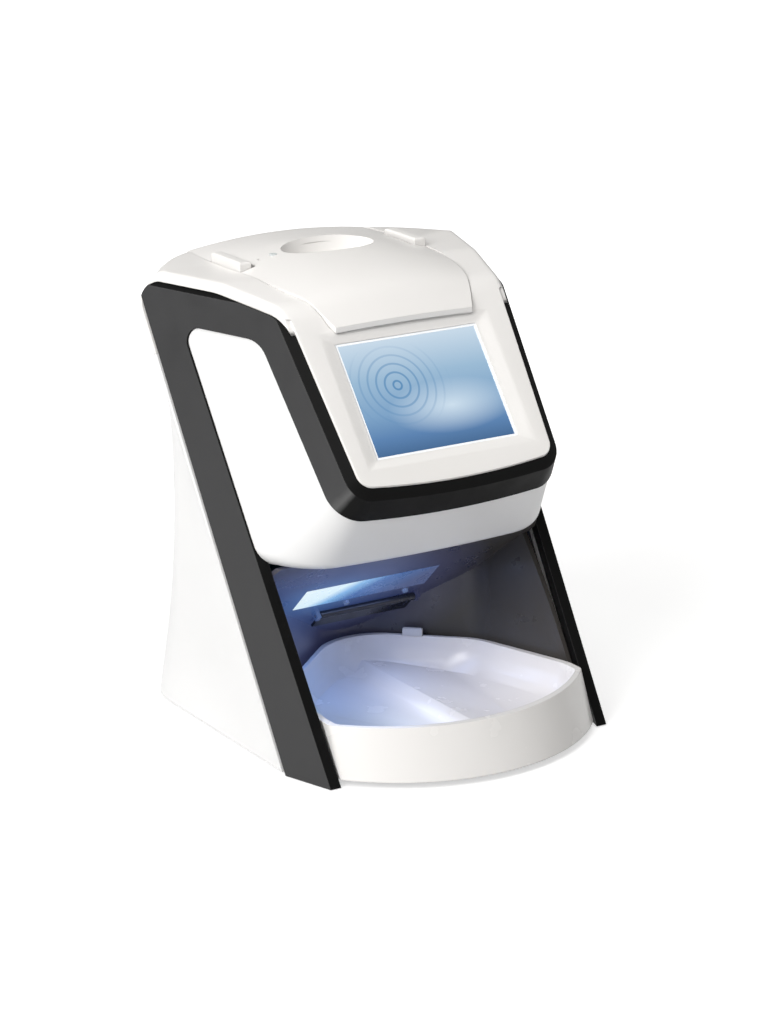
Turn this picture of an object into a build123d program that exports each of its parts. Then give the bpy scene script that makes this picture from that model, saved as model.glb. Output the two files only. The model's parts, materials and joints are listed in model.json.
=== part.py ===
from build123d import *
import math
import os

# A benchtop reader for phosphor imaging plates. A slanted head with a touch display stands on two
# splayed dark legs over a lit bay, where the plates that have been read drop into a pull-out tray.
# Lengths are in millimetres. The model is drawn with the circle of the tray's front centred on the
# Z axis and the front towards -Y, and is moved along Y at the end to put the origin under its middle.

# Side planes: the flat outer faces of the dark hoop, splayed to the rear and leaning inwards
side_reach = 113.0
side_splay_angle = 17.95
side_lean_angle = 10.32

# Slanted display face
face_angle = 51.64
face_foot_y = -63.3
face_foot_z = 152.4
face_corner_radius = 13.0
face_bow = 4.0
chin_flare_angle = 18.3

# Head and shoulders
shoulder_top = 249.0
shoulder_start_y = 52.0
shoulder_front_drop = 7.0
shoulder_bend_radius = 60.0
crest_radius = 24.0
shoulder_edge_radius = 5.0
shoulder_edge_share = 0.85
ceiling_z = 105.0
chin_edge_radius = 9.0
casing_wall = 2.5
casing_setback = 1.2
side_wall = 2.0
bezel_wall = 5.5

# Dark hoop: two wings with legs, joined by the band under the display
hoop_wall = 6.5
hoop_top_drop = 5.2
hoop_front_setback = 1.2
hoop_bevel = 3.0
bezel_inset = 4.6
hoop_split_z = 130.0
arm_width = 19.0
arm_foot = 12.0
band_overlap = 2.0
arm_reach = 80.0
band_reach_up = 14.0
top_rail_width = 20.0
band_depth = 11.5
band_turn_x = 60.0
band_turn_depth = 13.5
band_end_x = 80.0
band_end_depth = 23.0
band_turn_radius = 14.0
leg_toe_y = -72.3
leg_front_angle = 57.2
leg_heel_y = -38.7
leg_rear_angle = 58.5
rear_corner_radius = 11.0
window_corner_radius = 7.0
window_front_radius = 18.0
sole_z = 0.6

# Rear shell, by height: reach to the rear, start of the corner, and how much the corner toes in
shell_foot_z = 1.6
shell_foot_reach = 130.0
shell_ankle_z = 55.0
shell_ankle_reach = 116.0
shell_waist_z = 118.0
shell_waist_reach = 108.5
shell_shoulder_z = 180.0
shell_shoulder_reach = 120.0
shell_neck_z = 205.0
shell_neck_reach = 127.0
shell_crown_z = 232.0
shell_crown_reach = 137.5
shell_lid_reach = 137.0
shell_lid_start_y = 95.0
shell_side_half_width = 98.0
shell_corner_radius = 40.0
shell_rear_half_width = 58.0
shell_crown_half_width = 44.0
shell_lid_half_width = 30.0
shell_seam_z = 205.0
shell_toe_in = 38.0

# Display window in the face
display_width = 89.6
display_height = 68.1
display_foot = 22.5
display_recess = 3.0
display_side_bevel = 9.5
display_end_bevel = 6.5
display_rim = 1.3
display_rim_proud = 0.4
glass_thick = 1.8
glass_lip = 2.5
glass_gap = 0.3
display_land = 0.8
lcd_thick = 5.0
display_board_thick = 1.6
display_board_gap = 3.0
display_post_radius = 2.5
display_post_inset = 5.0

# Top cover, its insertion pocket and slot
cover_front_y = -4.5
cover_front_z = 231.0
cover_front_half_width = 43.5
cover_rear_y = 131.0
cover_half_width = 61.0
cover_thick = 3.2
cover_crown = 8.5
cover_rise = 18.0
cover_slices = 18
cover_slice_bias = 1.5
cover_gap = 0.5
cover_ledge = 4.0
cover_frame_wall = 2.5
cover_station_shares = [
    (0.0, 0.0, 0.0, 0.09),
    (0.048, 0.2, 0.294, 0.18),
    (0.1, 0.37, 0.611, 0.29),
    (0.166, 0.54, 0.778, 0.44),
    (0.292, 0.77, 0.905, 0.65),
    (0.476, 0.91, 0.978, 0.88),
    (0.697, 1.0, 1.0, 1.0),
    (1.0, 0.83, 0.97, 0.53),
]
pocket_y = 75.0
pocket_length = 58.0
pocket_width = 31.0
pocket_depth = 10.0
pocket_wall = 2.0
pocket_taper = 4.0
slot_y = 70.0
slot_length = 46.0
slot_width = 5.0
throat_depth = 14.0
throat_wall = 1.6
tab_length = 32.0
tab_width = 7.0
tab_height = 7.0
tab_rise = 3.0
tab_y = 84.0
tab_travel = 2.5
tab_gap = 0.4
tab_stem = 4.0
tab_drop = 2.0
tab_spring_room = 7.0
tab_spring_radius = 1.8
tab_spring_wire = 0.5
tab_spring_turns = 5
ready_lamp_radius = 2.2
ready_lamp_x = -35.0
pin_hole_radius = 0.9
pin_hole_x = -44.0

# Slot shutter under the cover
shutter_thick = 1.2
shutter_reach = 9.0
shutter_pin_radius = 1.0
shutter_knuckle_radius = 2.1
running_gap = 0.05
shutter_clear = 0.6

# Receiving tray
tray_front_radius = 109.0
tray_front_lean = 24.0
tray_bottom_z = 4.0
tray_rim_z = 31.0
tray_half_width = 82.0
tray_corner_y = -46.0
tray_side_x = 62.0
tray_side_y = 14.0
tray_side_share = 0.8
tray_rear_y = 70.0
tray_apex_radius = 36.0
tray_corner_radius = 5.0
dish_corner_radius = 30.0
tray_rim_width = 4.0
tray_floor_z = 13.0
tray_floor_thick = 2.5
dish_step_shares = [(0.0, 0.0), (0.35, 0.16), (0.75, 0.5), (1.0, 1.0)]
dish_slope_width = 12.0
ridge_foot_x = -3.0
ridge_top_x = 5.0
ridge_front_x = 26.0
ridge_rear_x = 59.0
ridge_height = 5.0
tray_seat_gap = 0.3
tray_pull_length = 11.5
tray_pull_thick = 2.5
tray_pull_height = 4.6
tray_pull_share = 0.4555

# Bay lining
bay_gap = 1.3
bay_wall = 2.5
bay_front_setback = 9.0
bay_top_half_width = 85.0
bay_top_corner_y = -6.0
bay_top_side_x = 68.0
bay_top_side_y = 34.0
bay_top_rear_y = 74.0
slope_top_y = -8.0
slope_foot_y = 57.0
slope_foot_z = 42.0
light_bar_share = 0.508
light_bar_x = -7.6
light_bar_length = 86.6
light_bar_width = 22.0
light_bar_thick = 4.0
light_gap = 0.15
exit_share = 0.8
exit_length = 62.0
exit_width = 10.0
flap_thick = 1.5
flap_gap = 0.6
flap_pin_radius = 1.0
flap_knuckle_radius = 2.2
bay_lamp_radius = 2.0
bay_lamp_xs = [-15.0, 24.0]
bay_lamp_share = 0.662
lamp_dome_share = 0.8
strip_board_thick = 1.6
chute_wall = 1.5
chute_gap = 1.0
chute_start_share = 0.72
chute_end_share = 0.9

# Base plate, feet and screws
base_z = 3.0
base_thick = 3.0
base_gap = 0.6
foot_radius = 8.0
foot_height = 3.0
foot_places_share = [(0.46, -0.66), (0.66, 0.72)]
screw_radius = 1.5
screw_head_radius = 2.8
screw_head_thick = 1.8
screw_length = 10.0
boss_radius = 4.0
boss_height = 24.0
boss_web = 5.0
side_boss_y = 4.0
rear_boss_x = 70.0
rear_boss_share = 0.86
base_front_setback = 8.0

# Chassis and plate transport
chassis_y = 97.0
chassis_thick = 2.0
chassis_half_width = 64.0
chassis_top_z = 226.0
chassis_foot_depth = 18.0
rod_radius = 3.0
rod_x = 38.0
rod_y = 82.0
block_height = 8.0
block_depth = 11.0
block_half_width = 70.0
lower_block_z = 112.0
upper_block_z = 214.0
screw_x = 58.0
lead_radius = 3.0
lead_end = 4.0
bearing_radius = 6.0
bearing_height = 5.0
carriage_z = 190.0
carriage_travel = 60.0
carriage_height = 20.0
carriage_depth = 12.0
carriage_half_width = 46.0
bush_radius = 5.0
nut_radius = 6.5
nut_flange_radius = 9.0
nut_flange_thick = 3.0
nut_height = 16.0
holder_half_width = 30.0
holder_thick = 2.0
holder_height = 44.0
holder_lip = 5.0
motor_side = 28.0
motor_height = 30.0
motor_shaft_radius = 2.5
motor_shaft_length = 9.0
motor_top_z = 92.0
motor_plate_thick = 2.0
motor_ring_radius = 11.0
coupling_radius = 7.0
coupling_length = 14.0
coupling_gap = 0.8
block_clear = 0.5

# Optical bench
bench_top_z = 141.0
bench_thick = 3.0
bench_front_y = -26.0
bench_rear_y = 60.0
bench_half_width = 56.0
bracket_thick = 2.0
bracket_reach = 26.0
spinner_y = 6.0
spinner_motor_radius = 15.0
spinner_motor_height = 9.0
spinner_shaft_radius = 2.0
mirror_radius = 14.0
mirror_height = 7.0
mirror_sides = 8
mirror_lift = 1.0
laser_radius = 7.0
laser_length = 30.0
laser_x = -36.0
laser_clamp_width = 12.0
laser_clamp_side = 20.0
scan_lens_y = 34.0
scan_lens_length = 60.0
scan_lens_thick = 7.0
scan_lens_bulge = 4.0
scan_lens_height = 10.0
guide_y = 53.0
guide_length = 66.0
guide_depth = 8.0
guide_height = 9.0
guide_z = 164.0
filter_thick = 2.0
filter_radius = 11.0
sensor_radius = 13.0
sensor_length = 38.0
sensor_clamp_width = 10.0
sensor_clamp_side = 34.0
erase_board_thick = 1.6
erase_board_height = 20.0
erase_board_half_width = 32.0
erase_board_y = 57.0
erase_lamp_side = 4.0
erase_lamp_thick = 1.6
erase_lamp_count = 6

# Boards and sockets at the rear
board_low_x = -60.0
board_low_z = 50.0
board_high_z = 100.0
board_thick = 1.6
board_gap = 3.0
chip_side = 14.0
chip_thick = 2.0
chip_places_share = [(0.25, 0.6), (0.55, 0.45), (0.8, 0.7)]
standoff_radius = 2.5
standoff_inset = 5.0
panel_width = 84.0
panel_height = 30.0
panel_thick = 2.0
panel_z = 30.0
panel_recess = 9.5
panel_lip = 2.0
inlet_x = -28.0
inlet_radius = 5.5
inlet_bore = 2.75
inlet_length = 11.0
inlet_flange = 8.0
socket_x = 0.0
socket_width = 16.0
socket_height = 13.5
socket_depth = 10.0
socket_wall = 1.5
rocker_x = 27.0
rocker_width = 13.0
rocker_height = 19.0
rocker_frame = 2.0
rocker_depth = 9.0
rocker_proud = 2.0
rocker_gap = 0.5
rocker_pin_radius = 1.0
vent_count = 9
vent_width = 3.0
vent_height = 26.0
vent_pitch = 8.0
vent_z = 160.0

corner_share = 0.5523
space_reach = 700.0
cut_over = 20.0

face_cos = math.cos(math.radians(face_angle))
face_sin = math.sin(math.radians(face_angle))
chin_flare = math.tan(math.radians(chin_flare_angle))
side_splay = math.tan(math.radians(side_splay_angle))
side_lean = math.tan(math.radians(side_lean_angle))
tray_lean = math.tan(math.radians(tray_front_lean))
face_plane = Plane(origin=(0, face_foot_y, face_foot_z), x_dir=(1, 0, 0), z_dir=(0, -face_sin, face_cos))


def side_x(y, z):
    """Half width of the side planes at a depth and a height."""
    return side_reach + side_splay * y - side_lean * z


def face_yz(up, deep):
    """Place in Y and Z of a point up the face and deep behind it."""
    y = face_foot_y + up * face_cos + deep * face_sin
    z = face_foot_z + up * face_sin - deep * face_cos
    return (y, z)


def face_level(z, deep):
    """Place in Y and Z at a height on a line deep behind the face."""
    return face_yz((z - face_foot_z + deep * face_cos) / face_sin, deep)


def leg_front_y(z):
    return leg_toe_y + z / math.tan(math.radians(leg_front_angle))


def leg_rear_y(z):
    return leg_heel_y + z / math.tan(math.radians(leg_rear_angle))


def leg_middle_y(z):
    return (leg_front_y(z) + leg_rear_y(z)) / 2


def brick(x_range, y_range, z_range):
    """A block between two corners."""
    size = [high - low for low, high in (x_range, y_range, z_range)]
    middle = [(high + low) / 2 for low, high in (x_range, y_range, z_range)]
    return Pos(*middle) * Box(*size)


def span(middle, size):
    """The range of a size around a middle."""
    return (middle - size / 2, middle + size / 2)


def rod_between(start, end, radius):
    """A round bar from one point to another."""
    axis = Vector(*end) - Vector(*start)
    return extrude(Plane(origin=start, z_dir=axis) * Circle(radius), amount=axis.length)


def upright(x, y, low, high, radius):
    """A round bar standing between two heights."""
    return Pos(x, y, low) * Cylinder(radius, high - low, align=(Align.CENTER, Align.CENTER, Align.MIN))


def lying(x_range, y, z, radius):
    """A round bar lying along X."""
    low, high = x_range
    return Pos((low + high) / 2, y, z) * Rot(0, 90, 0) * Cylinder(radius, high - low)


def facing(x, y_range, z, radius):
    """A round bar lying along Y."""
    low, high = y_range
    return Pos(x, (low + high) / 2, z) * Rot(90, 0, 0) * Cylinder(radius, high - low)


def outline_prism(points, rounds, half_length):
    """A solid of an outline in Y and Z, out along X to both sides, with numbered corners rounded."""
    flat = make_face(Polyline(*points, close=True))
    for place, radius in rounds.items():
        corner = flat.vertices().sort_by_distance(Vector(*points[place]))[0]
        flat = fillet(corner, radius=radius)
    return extrude(Plane.YZ * flat, amount=half_length, both=True)


def half_space(point, normal):
    """A large block on the side of a plane that its normal points away from."""
    plane = Plane(origin=point, z_dir=normal)
    return plane * Box(space_reach, space_reach, space_reach, align=(Align.CENTER, Align.CENTER, Align.MAX))


def side_wedge(inset):
    """The space between the two side planes, moved in by an inset."""
    left = half_space((inset - side_reach, 0, 0), (-1, -side_splay, side_lean))
    right = half_space((side_reach - inset, 0, 0), (1, -side_splay, side_lean))
    return left & right


def face_outline(deep, inset):
    """The head's outline square to the face, at a depth behind it."""
    grow_up = side_x(face_cos, face_sin) - side_reach
    grow_deep = side_x(face_sin, -face_cos) - side_reach
    start = side_x(face_foot_y, face_foot_z)
    foot = inset - chin_flare * deep
    side_foot = foot + face_bow
    half_foot = start + grow_up * side_foot + grow_deep * deep - inset
    half_top = start + grow_up * shoulder_top + grow_deep * deep - inset
    radius = max(face_corner_radius + chin_flare * deep - inset, face_bow)
    lines = [
        Line((-half_top, shoulder_top), (-half_foot, side_foot)),
        ThreePointArc((-half_foot, side_foot), (0, foot), (half_foot, side_foot)),
        Line((half_foot, side_foot), (half_top, shoulder_top)),
        Line((half_top, shoulder_top), (-half_top, shoulder_top)),
    ]
    flat = make_face(lines)
    flat = fillet(flat.vertices().sort_by(Axis.Y)[:2], radius=radius)
    return face_plane.offset(-deep) * flat


def head_block(inset, front):
    """The tapering block between the slanted face, the side planes and the chin."""
    return loft([face_outline(front, inset), face_outline(shoulder_top, inset)], ruled=True)


def head_side(drop, front, floor, bend):
    """The head from the side: face, crest, shoulders, and the ceiling of the bay."""
    top = shoulder_top - drop
    low = face_level(floor, front)
    crest = face_level(top - shoulder_front_drop, front)
    rear = shell_crown_reach
    points = [low, crest, (shoulder_start_y, top), (rear, top), (rear, floor)]
    return outline_prism(points, {1: crest_radius - bend, 2: shoulder_bend_radius}, side_reach * 2)


def lid_start_y(z):
    """Where the shell's corner starts near the top, on a line that comes forward with height."""
    share = (z - shell_crown_z) / (shoulder_top - shell_crown_z)
    return leg_rear_y(shell_crown_z) + (shell_lid_start_y - leg_rear_y(shell_crown_z)) * share


def shell_section(row, inset, ahead):
    """One level section of the rear shell: sides from under the legs, two corners and the back."""
    z, reach, corner_x, corner_y, rear_half, toe_in, ease = row
    side_inset = hoop_wall + side_wall if inset > 0 else casing_setback
    heel_y = min(leg_rear_y(z), corner_y - casing_setback)
    front_y = min(leg_middle_y(z), heel_y - casing_setback) - ahead
    front = (side_x(front_y, z) - side_inset - ease, front_y)
    heel = (side_x(heel_y, z) - side_inset - ease, heel_y)
    corner = (corner_x - inset - ease, corner_y)
    rear = (rear_half, reach - inset - ease)
    turn = math.radians(toe_in)
    pull = (rear[1] - corner[1]) * corner_share
    handle = (corner[0] - pull * math.sin(turn), corner[1] + pull * math.cos(turn))
    rear_handle = (rear[0] + (corner[0] - rear[0]) * corner_share, rear[1])
    lines = [Line(rear, (-rear[0], rear[1])), Line((-front[0], front[1]), front)]
    for hand in (1, -1):
        side = [(hand * x, y) for x, y in (front, heel, corner, handle, rear_handle, rear)]
        lines.append(Line(side[0], side[1]))
        lines.append(Line(side[1], side[2]))
        lines.append(Bezier(*side[2:]))
    return Pos(0, 0, z) * make_face(lines)


def lid_row(z, ease):
    """The shell's section near the top at one height, drawn in by an ease for the rounded edge."""
    start_y = lid_start_y(z)
    share = (z - shell_crown_z) / (shoulder_top - shell_crown_z)
    reach = shell_crown_reach + (shell_lid_reach - shell_crown_reach) * share
    half = shell_crown_half_width + (shell_lid_half_width - shell_crown_half_width) * share
    return (z, reach, side_x(start_y, z) - casing_setback, start_y, half, shell_toe_in, ease)


def shell_block(inset, ahead, low, high):
    """The waisted block of the rear shell, from the table to the shoulders, its top edge rounded."""
    side = shell_side_half_width
    rear = shell_rear_half_width
    back = -shell_corner_radius
    neck_y = leg_rear_y(shell_neck_z) + shell_foot_z
    neck_x = side_x(neck_y, shell_neck_z) - casing_setback
    toe = shell_toe_in
    neck = (shell_neck_z, shell_neck_reach, neck_x, neck_y, shell_crown_half_width, toe, 0)
    lower_rows = [
        (low, shell_foot_reach, side, shell_foot_reach + back, rear, 0, 0),
        (shell_ankle_z, shell_ankle_reach, side, shell_ankle_reach + back, rear, 0, 0),
        (shell_waist_z, shell_waist_reach, side, shell_waist_reach + back, rear, 0, 0),
        (shell_shoulder_z, shell_shoulder_reach, side, shell_shoulder_reach + back, rear, toe / 2, 0),
        neck,
    ]
    radius = shoulder_edge_radius - inset
    start = high - radius
    lid_rows = []
    for turn in (0, math.pi / 6, math.pi / 3, math.pi / 2):
        ease = radius * (1 - math.cos(turn)) * shoulder_edge_share
        lid_rows.append(lid_row(start + radius * math.sin(turn), ease))
    lower = loft([shell_section(row, inset, ahead) for row in lower_rows])
    upper_rows = [neck, lid_row(shell_crown_z, 0), lid_rows[0]]
    upper = loft([shell_section(row, inset, ahead) for row in upper_rows])
    lid = loft([shell_section(row, inset, ahead) for row in lid_rows], ruled=True)
    return lower + upper + lid


def leg_cut(distance):
    """Everything in front of a plane parallel to the legs' rear edges."""
    turn = math.radians(leg_rear_angle)
    place = (0, leg_heel_y + distance / math.sin(turn), 0)
    return half_space(place, (0, math.sin(turn), -math.cos(turn)))


def ahead_of_middle():
    """Everything in front of the middle line of the legs."""
    run = leg_middle_y(shoulder_top) - leg_middle_y(0)
    return half_space((0, leg_middle_y(0), 0), (0, shoulder_top, -run))


def head_case(inset, front, drop, floor):
    """The head's envelope, as far back as the legs' rear edges."""
    block = head_block(inset, front - hoop_bevel) & head_side(drop, front, floor, front)
    return block & leg_cut(shell_foot_z)


def hoop_mask(front, grow):
    """The dark hoop from the side: a leg, the top rail, and the arm beside the display."""
    rail = shoulder_top - hoop_top_drop
    inner_rail = rail - top_rail_width
    points = [
        (leg_front_y(sole_z), sole_z),
        (leg_rear_y(sole_z), sole_z),
        (leg_rear_y(rail), rail),
        (shoulder_start_y, rail),
        face_level(rail - shoulder_front_drop, front),
        face_yz(-arm_foot, front),
        face_yz(-arm_foot, arm_width),
        face_level(inner_rail, arm_width),
        (leg_front_y(inner_rail), inner_rail),
    ]
    rounds = {
        2: rear_corner_radius,
        3: shoulder_bend_radius,
        4: crest_radius,
        7: window_front_radius,
        8: window_corner_radius,
    }
    return outline_prism(points, rounds, side_reach + grow)


def band_cut():
    """The room under the band: everything deeper behind the face than the band's lower edge."""
    points = [
        (-band_end_x, -arm_reach),
        (-band_end_x, -band_end_depth),
        (-band_turn_x, -band_turn_depth),
        (0, -band_depth),
        (band_turn_x, -band_turn_depth),
        (band_end_x, -band_end_depth),
        (band_end_x, -arm_reach),
    ]
    flat = make_face(Polyline(*points, close=True))
    for place in (2, 4):
        corner = flat.vertices().sort_by_distance(Vector(*points[place]))[0]
        flat = fillet(corner, radius=band_turn_radius)
    foot = face_yz(-arm_reach, 0)
    plane = Plane(origin=(0, *foot), x_dir=(1, 0, 0), z_dir=(0, face_cos, face_sin))
    return extrude(plane * flat, amount=arm_reach + band_reach_up)


def bevelled_block():
    """The head's block with its front edge bevelled all round."""
    depth = hoop_front_setback + hoop_bevel
    nose = loft([face_outline(hoop_front_setback, bezel_inset), face_outline(depth, 0)], ruled=True)
    return nose + head_block(0, depth)


def hoop_room(outer, front, wall, mask_front):
    """The space of the hoop: a skin of the head above, and of the side planes below."""
    high = (outer - head_block(wall, front)) & hoop_mask(mask_front, 0)
    high = high & half_space((0, 0, hoop_split_z), (0, 0, -1))
    low = (side_wedge(0) - side_wedge(wall)) & hoop_mask(mask_front, 0)
    low = low & half_space((0, 0, hoop_split_z), (0, 0, 1))
    return (high + low) - band_cut()


def hoop_shape():
    """The one-piece hoop, with the long edges of its rails and legs bevelled."""
    hoop = hoop_room(bevelled_block(), hoop_front_setback, hoop_wall, hoop_front_setback)
    turn = math.radians(leg_rear_angle)
    rail = shoulder_top - hoop_top_drop
    for hand in (-1, 1):
        side = Vector(hand, -side_splay, side_lean).normalized()
        top_x = side_x(shoulder_start_y, rail) - hoop_bevel
        top = half_space((hand * top_x, shoulder_start_y, rail), side + Vector(0, 0, 1))
        heel_x = side_x(leg_rear_y(rail), rail) - hoop_bevel
        behind = Vector(0, math.sin(turn), -math.cos(turn))
        rear = half_space((hand * heel_x, leg_rear_y(rail), rail), side + behind)
        hoop = hoop & top & rear
    return hoop


def rounded_head():
    """The head's envelope with its shoulders and the chin's lower edge rounded."""
    head = head_case(casing_setback, 0, 0, ceiling_z)
    start_y = leg_rear_y(shell_crown_z)
    rise = shoulder_top - shell_crown_z
    head = head & half_space((0, start_y, shell_crown_z), (0, rise, start_y - shell_lid_start_y))
    chin = []
    for edge in head.edges().group_by(Axis.Z)[0]:
        if (edge @ 0.5).Y < chin_edge_radius:
            chin.append(edge)
    head = fillet(chin, radius=chin_edge_radius)
    shoulders = []
    for edge in head.edges():
        middle = edge @ 0.5
        beside = abs(abs(middle.X) - side_x(middle.Y, middle.Z) + casing_setback) < running_gap
        level = edge.bounding_box().size.Z < shoulder_front_drop + crest_radius / 4
        if beside and level and middle.Z > shoulder_top - crest_radius / 2:
            shoulders.append(edge)
    return fillet(shoulders, radius=shoulder_edge_radius)


def outer_case():
    """The white casing's outer envelope, head and rear shell together."""
    return rounded_head() + shell_block(0, 0, shell_foot_z, shoulder_top)


def inner_case():
    """The hollow inside the white casing: head, rear shell, and the bay's side of the legs."""
    wall = hoop_wall + side_wall
    floor = ceiling_z + casing_wall
    head = head_case(wall, bezel_wall, casing_wall, floor)
    rear = shell_block(casing_wall, cut_over, 0, shoulder_top - casing_wall)
    wide = (-space_reach, space_reach)
    high = rear & head_side(casing_wall, bezel_wall, floor, bezel_wall)
    middle = rear & brick(wide, (slope_top_y, space_reach), (ceiling_z - casing_wall, floor + casing_wall))
    low = rear & brick(wide, wide, (-cut_over, ceiling_z))
    return head + high + middle + low


def cover_values(along):
    """The cover's depth, half width, edge height and crown at a share of its length, smoothly read."""
    rows = cover_station_shares
    place = max(i for i in range(len(rows) - 1) if rows[i][0] <= along)
    low = rows[place]
    high = rows[place + 1]
    before = rows[max(place - 1, 0)]
    after = rows[min(place + 2, len(rows) - 1)]
    span = high[0] - low[0]
    t = (along - low[0]) / span
    values = []
    for i in (1, 2, 3):
        start = (high[i] - before[i]) / (high[0] - before[0]) * span
        end = (after[i] - low[i]) / (after[0] - low[0]) * span
        value = (2 * t ** 3 - 3 * t ** 2 + 1) * low[i] + (3 * t ** 2 - 2 * t ** 3) * high[i]
        value += (t ** 3 - 2 * t ** 2 + t) * start + (t ** 3 - t ** 2) * end
        values.append(value)
    y = cover_front_y + (cover_rear_y - cover_front_y) * along
    half = cover_front_half_width + (cover_half_width - cover_front_half_width) * values[0]
    edge = cover_front_z + cover_rise * values[1]
    return (y, half, edge, cover_crown * values[2])


def station(y, grow, low, high):
    """One cross section of the cover, an arched strip, moved down and up by two amounts."""
    along = (y - cover_front_y) / (cover_rear_y - cover_front_y)
    depth, half, edge, crown = cover_values(min(max(along, 0), 1))
    half = half + grow
    peak = edge + crown
    lines = [
        ThreePointArc((-half, edge + high), (0, peak + high), (half, edge + high)),
        Line((half, edge + high), (half, edge + low)),
        ThreePointArc((half, edge + low), (0, peak + low), (-half, edge + low)),
        Line((-half, edge + low), (-half, edge + high)),
    ]
    plane = Plane(origin=(0, y, 0), x_dir=(1, 0, 0), z_dir=(0, -1, 0))
    return plane * make_face(lines)


def cover_block(grow, low, high):
    """The arched strip of the cover from front to rear, grown sideways, down and up."""
    front = cover_front_y - grow
    rear = cover_rear_y + grow
    length = cover_rear_y - cover_front_y
    shares = [(i / cover_slices) ** cover_slice_bias for i in range(cover_slices + 1)]
    places = [cover_front_y + length * share for share in shares]
    between = [y for y in places if front < y < rear]
    return loft([station(y, grow, low, high) for y in [front] + between + [rear]], ruled=True)


def cover_top(y):
    """Height of the cover's middle line at a depth."""
    along = (y - cover_front_y) / (cover_rear_y - cover_front_y)
    values = cover_values(along)
    return values[2] + values[3]


def face_brick(x_range, up_range, deep_range):
    """A block in the slanted face's own directions."""
    size = [high - low for low, high in (x_range, up_range, deep_range)]
    middle = [(high + low) / 2 for low, high in (x_range, up_range, deep_range)]
    return face_plane * Pos(middle[0], middle[1], -middle[2]) * Box(*size)


def display_slab(grow_x, grow_up, deep_range):
    """A block behind the face with the display's outline, grown to the sides and up and down."""
    half = display_width / 2 + grow_x
    low = display_foot - grow_up
    high = display_foot + display_height + grow_up
    return face_brick((-half, half), (low, high), deep_range)


def face_rectangle(grow_x, grow_up, deep):
    """The display's rectangle, grown, at a depth behind the face."""
    middle = display_foot + display_height / 2
    plane = face_plane.offset(-deep)
    return plane * Pos(0, middle) * Rectangle(display_width + grow_x * 2, display_height + grow_up * 2)


def display_opening():
    """Bevelled window in the bezel with a seat for the glass behind it."""
    front = face_rectangle(display_side_bevel, display_end_bevel, 0)
    land = display_recess - display_land
    funnel = loft([front, face_rectangle(0, 0, land)], ruled=True)
    hole = display_slab(0, 0, (0, bezel_wall + cut_over))
    lip = glass_lip + glass_gap
    seat = display_slab(lip, lip, (display_recess, bezel_wall + cut_over))
    return funnel + hole + seat


nodes = {}

# Casing, split behind the hoop into a chin, a rear shell and a top housing
casing = outer_case() - inner_case()
seat_frame = cover_block(cover_gap + cover_frame_wall, -cover_thick - cover_ledge, -cover_thick / 2)
casing = casing + (seat_frame & outer_case())
casing = casing - cover_block(-cover_ledge, -cover_thick - cut_over, 0)
casing = casing - cover_block(cover_gap, -cover_thick - tray_seat_gap, cut_over)
room_block = head_block(-hoop_bevel, hoop_front_setback)
room = hoop_room(room_block, hoop_front_setback, hoop_wall, hoop_front_setback)
trim = head_block(-hoop_bevel, -hoop_bevel) - head_block(bezel_inset, -hoop_bevel)
trim = trim & hoop_mask(-hoop_bevel, 0)
trim = trim & half_space((0, *face_yz(0, hoop_front_setback)), (0, face_sin, -face_cos))
casing = casing - room - (trim - band_cut())
casing = casing - display_opening()
behind_face = half_space((0, *face_yz(0, band_depth - band_overlap)), (0, -face_sin, face_cos))
below_rail = half_space((0, 0, shoulder_top - hoop_top_drop - top_rail_width / 2), (0, 0, 1))
below_seam = half_space((0, 0, shell_seam_z), (0, 0, 1))
front_half = ahead_of_middle()
chin_shell = casing & behind_face & below_rail & front_half
rear_shell = (casing - front_half) & below_seam
top_housing = (casing - (behind_face & below_rail & front_half)) - (below_seam - front_half)
nodes["hoop"] = hoop_shape()
nodes["chin_shell"] = chin_shell
nodes["top_housing"] = top_housing

# Rear shell with bosses, a recess for the socket panel and vent slots
low_outer = shell_block(0, 0, shell_foot_z, shoulder_top) & below_seam
boss_z = (base_z + base_thick, base_z + base_thick + boss_height)
side_boss_x = side_x(leg_rear_y(base_z), base_z) - hoop_wall - side_wall - boss_radius
boss_spots = [(side_boss_x, side_boss_y), (rear_boss_x, shell_foot_reach * rear_boss_share)]
boss_places = [(hand * x, y) for x, y in boss_spots for hand in (-1, 1)]
for x, y in boss_places:
    boss = upright(x, y, *boss_z, boss_radius)
    web_x = sorted((x, x + math.copysign(cut_over, x)))
    web_y = (y - boss_web / 2, y + boss_web / 2)
    if y > side_boss_y:
        web_x = (x - boss_web / 2, x + boss_web / 2)
        web_y = (y, y + cut_over)
    rear_shell = rear_shell + ((boss + brick(web_x, web_y, boss_z)) & low_outer)
panel_y = (shell_foot_reach + shell_ankle_reach) / 2 - panel_recess
panel_z_range = (panel_z - panel_height / 2, panel_z + panel_height / 2)
panel_x_range = (-panel_width / 2, panel_width / 2)
shroud_x = (panel_x_range[0] - panel_lip, panel_x_range[1] + panel_lip)
shroud_z = (panel_z_range[0] - panel_lip, panel_z_range[1] + panel_lip)
shroud = brick(shroud_x, (panel_y, space_reach), shroud_z) & low_outer
recess = brick(panel_x_range, (panel_y - cut_over, space_reach), panel_z_range)
rear_shell = rear_shell + shroud - recess
for i in range(vent_count):
    x = (i - (vent_count - 1) / 2) * vent_pitch
    vent_ys = (chassis_y + chassis_thick, space_reach)
    slot = brick(span(x, vent_width), vent_ys, (vent_z, vent_z + vent_height))
    rear_shell = rear_shell - slot
for x, y in boss_places:
    rear_shell = rear_shell - upright(x, y, 0, boss_z[0] + screw_length, screw_radius)
nodes["rear_shell"] = rear_shell

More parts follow.
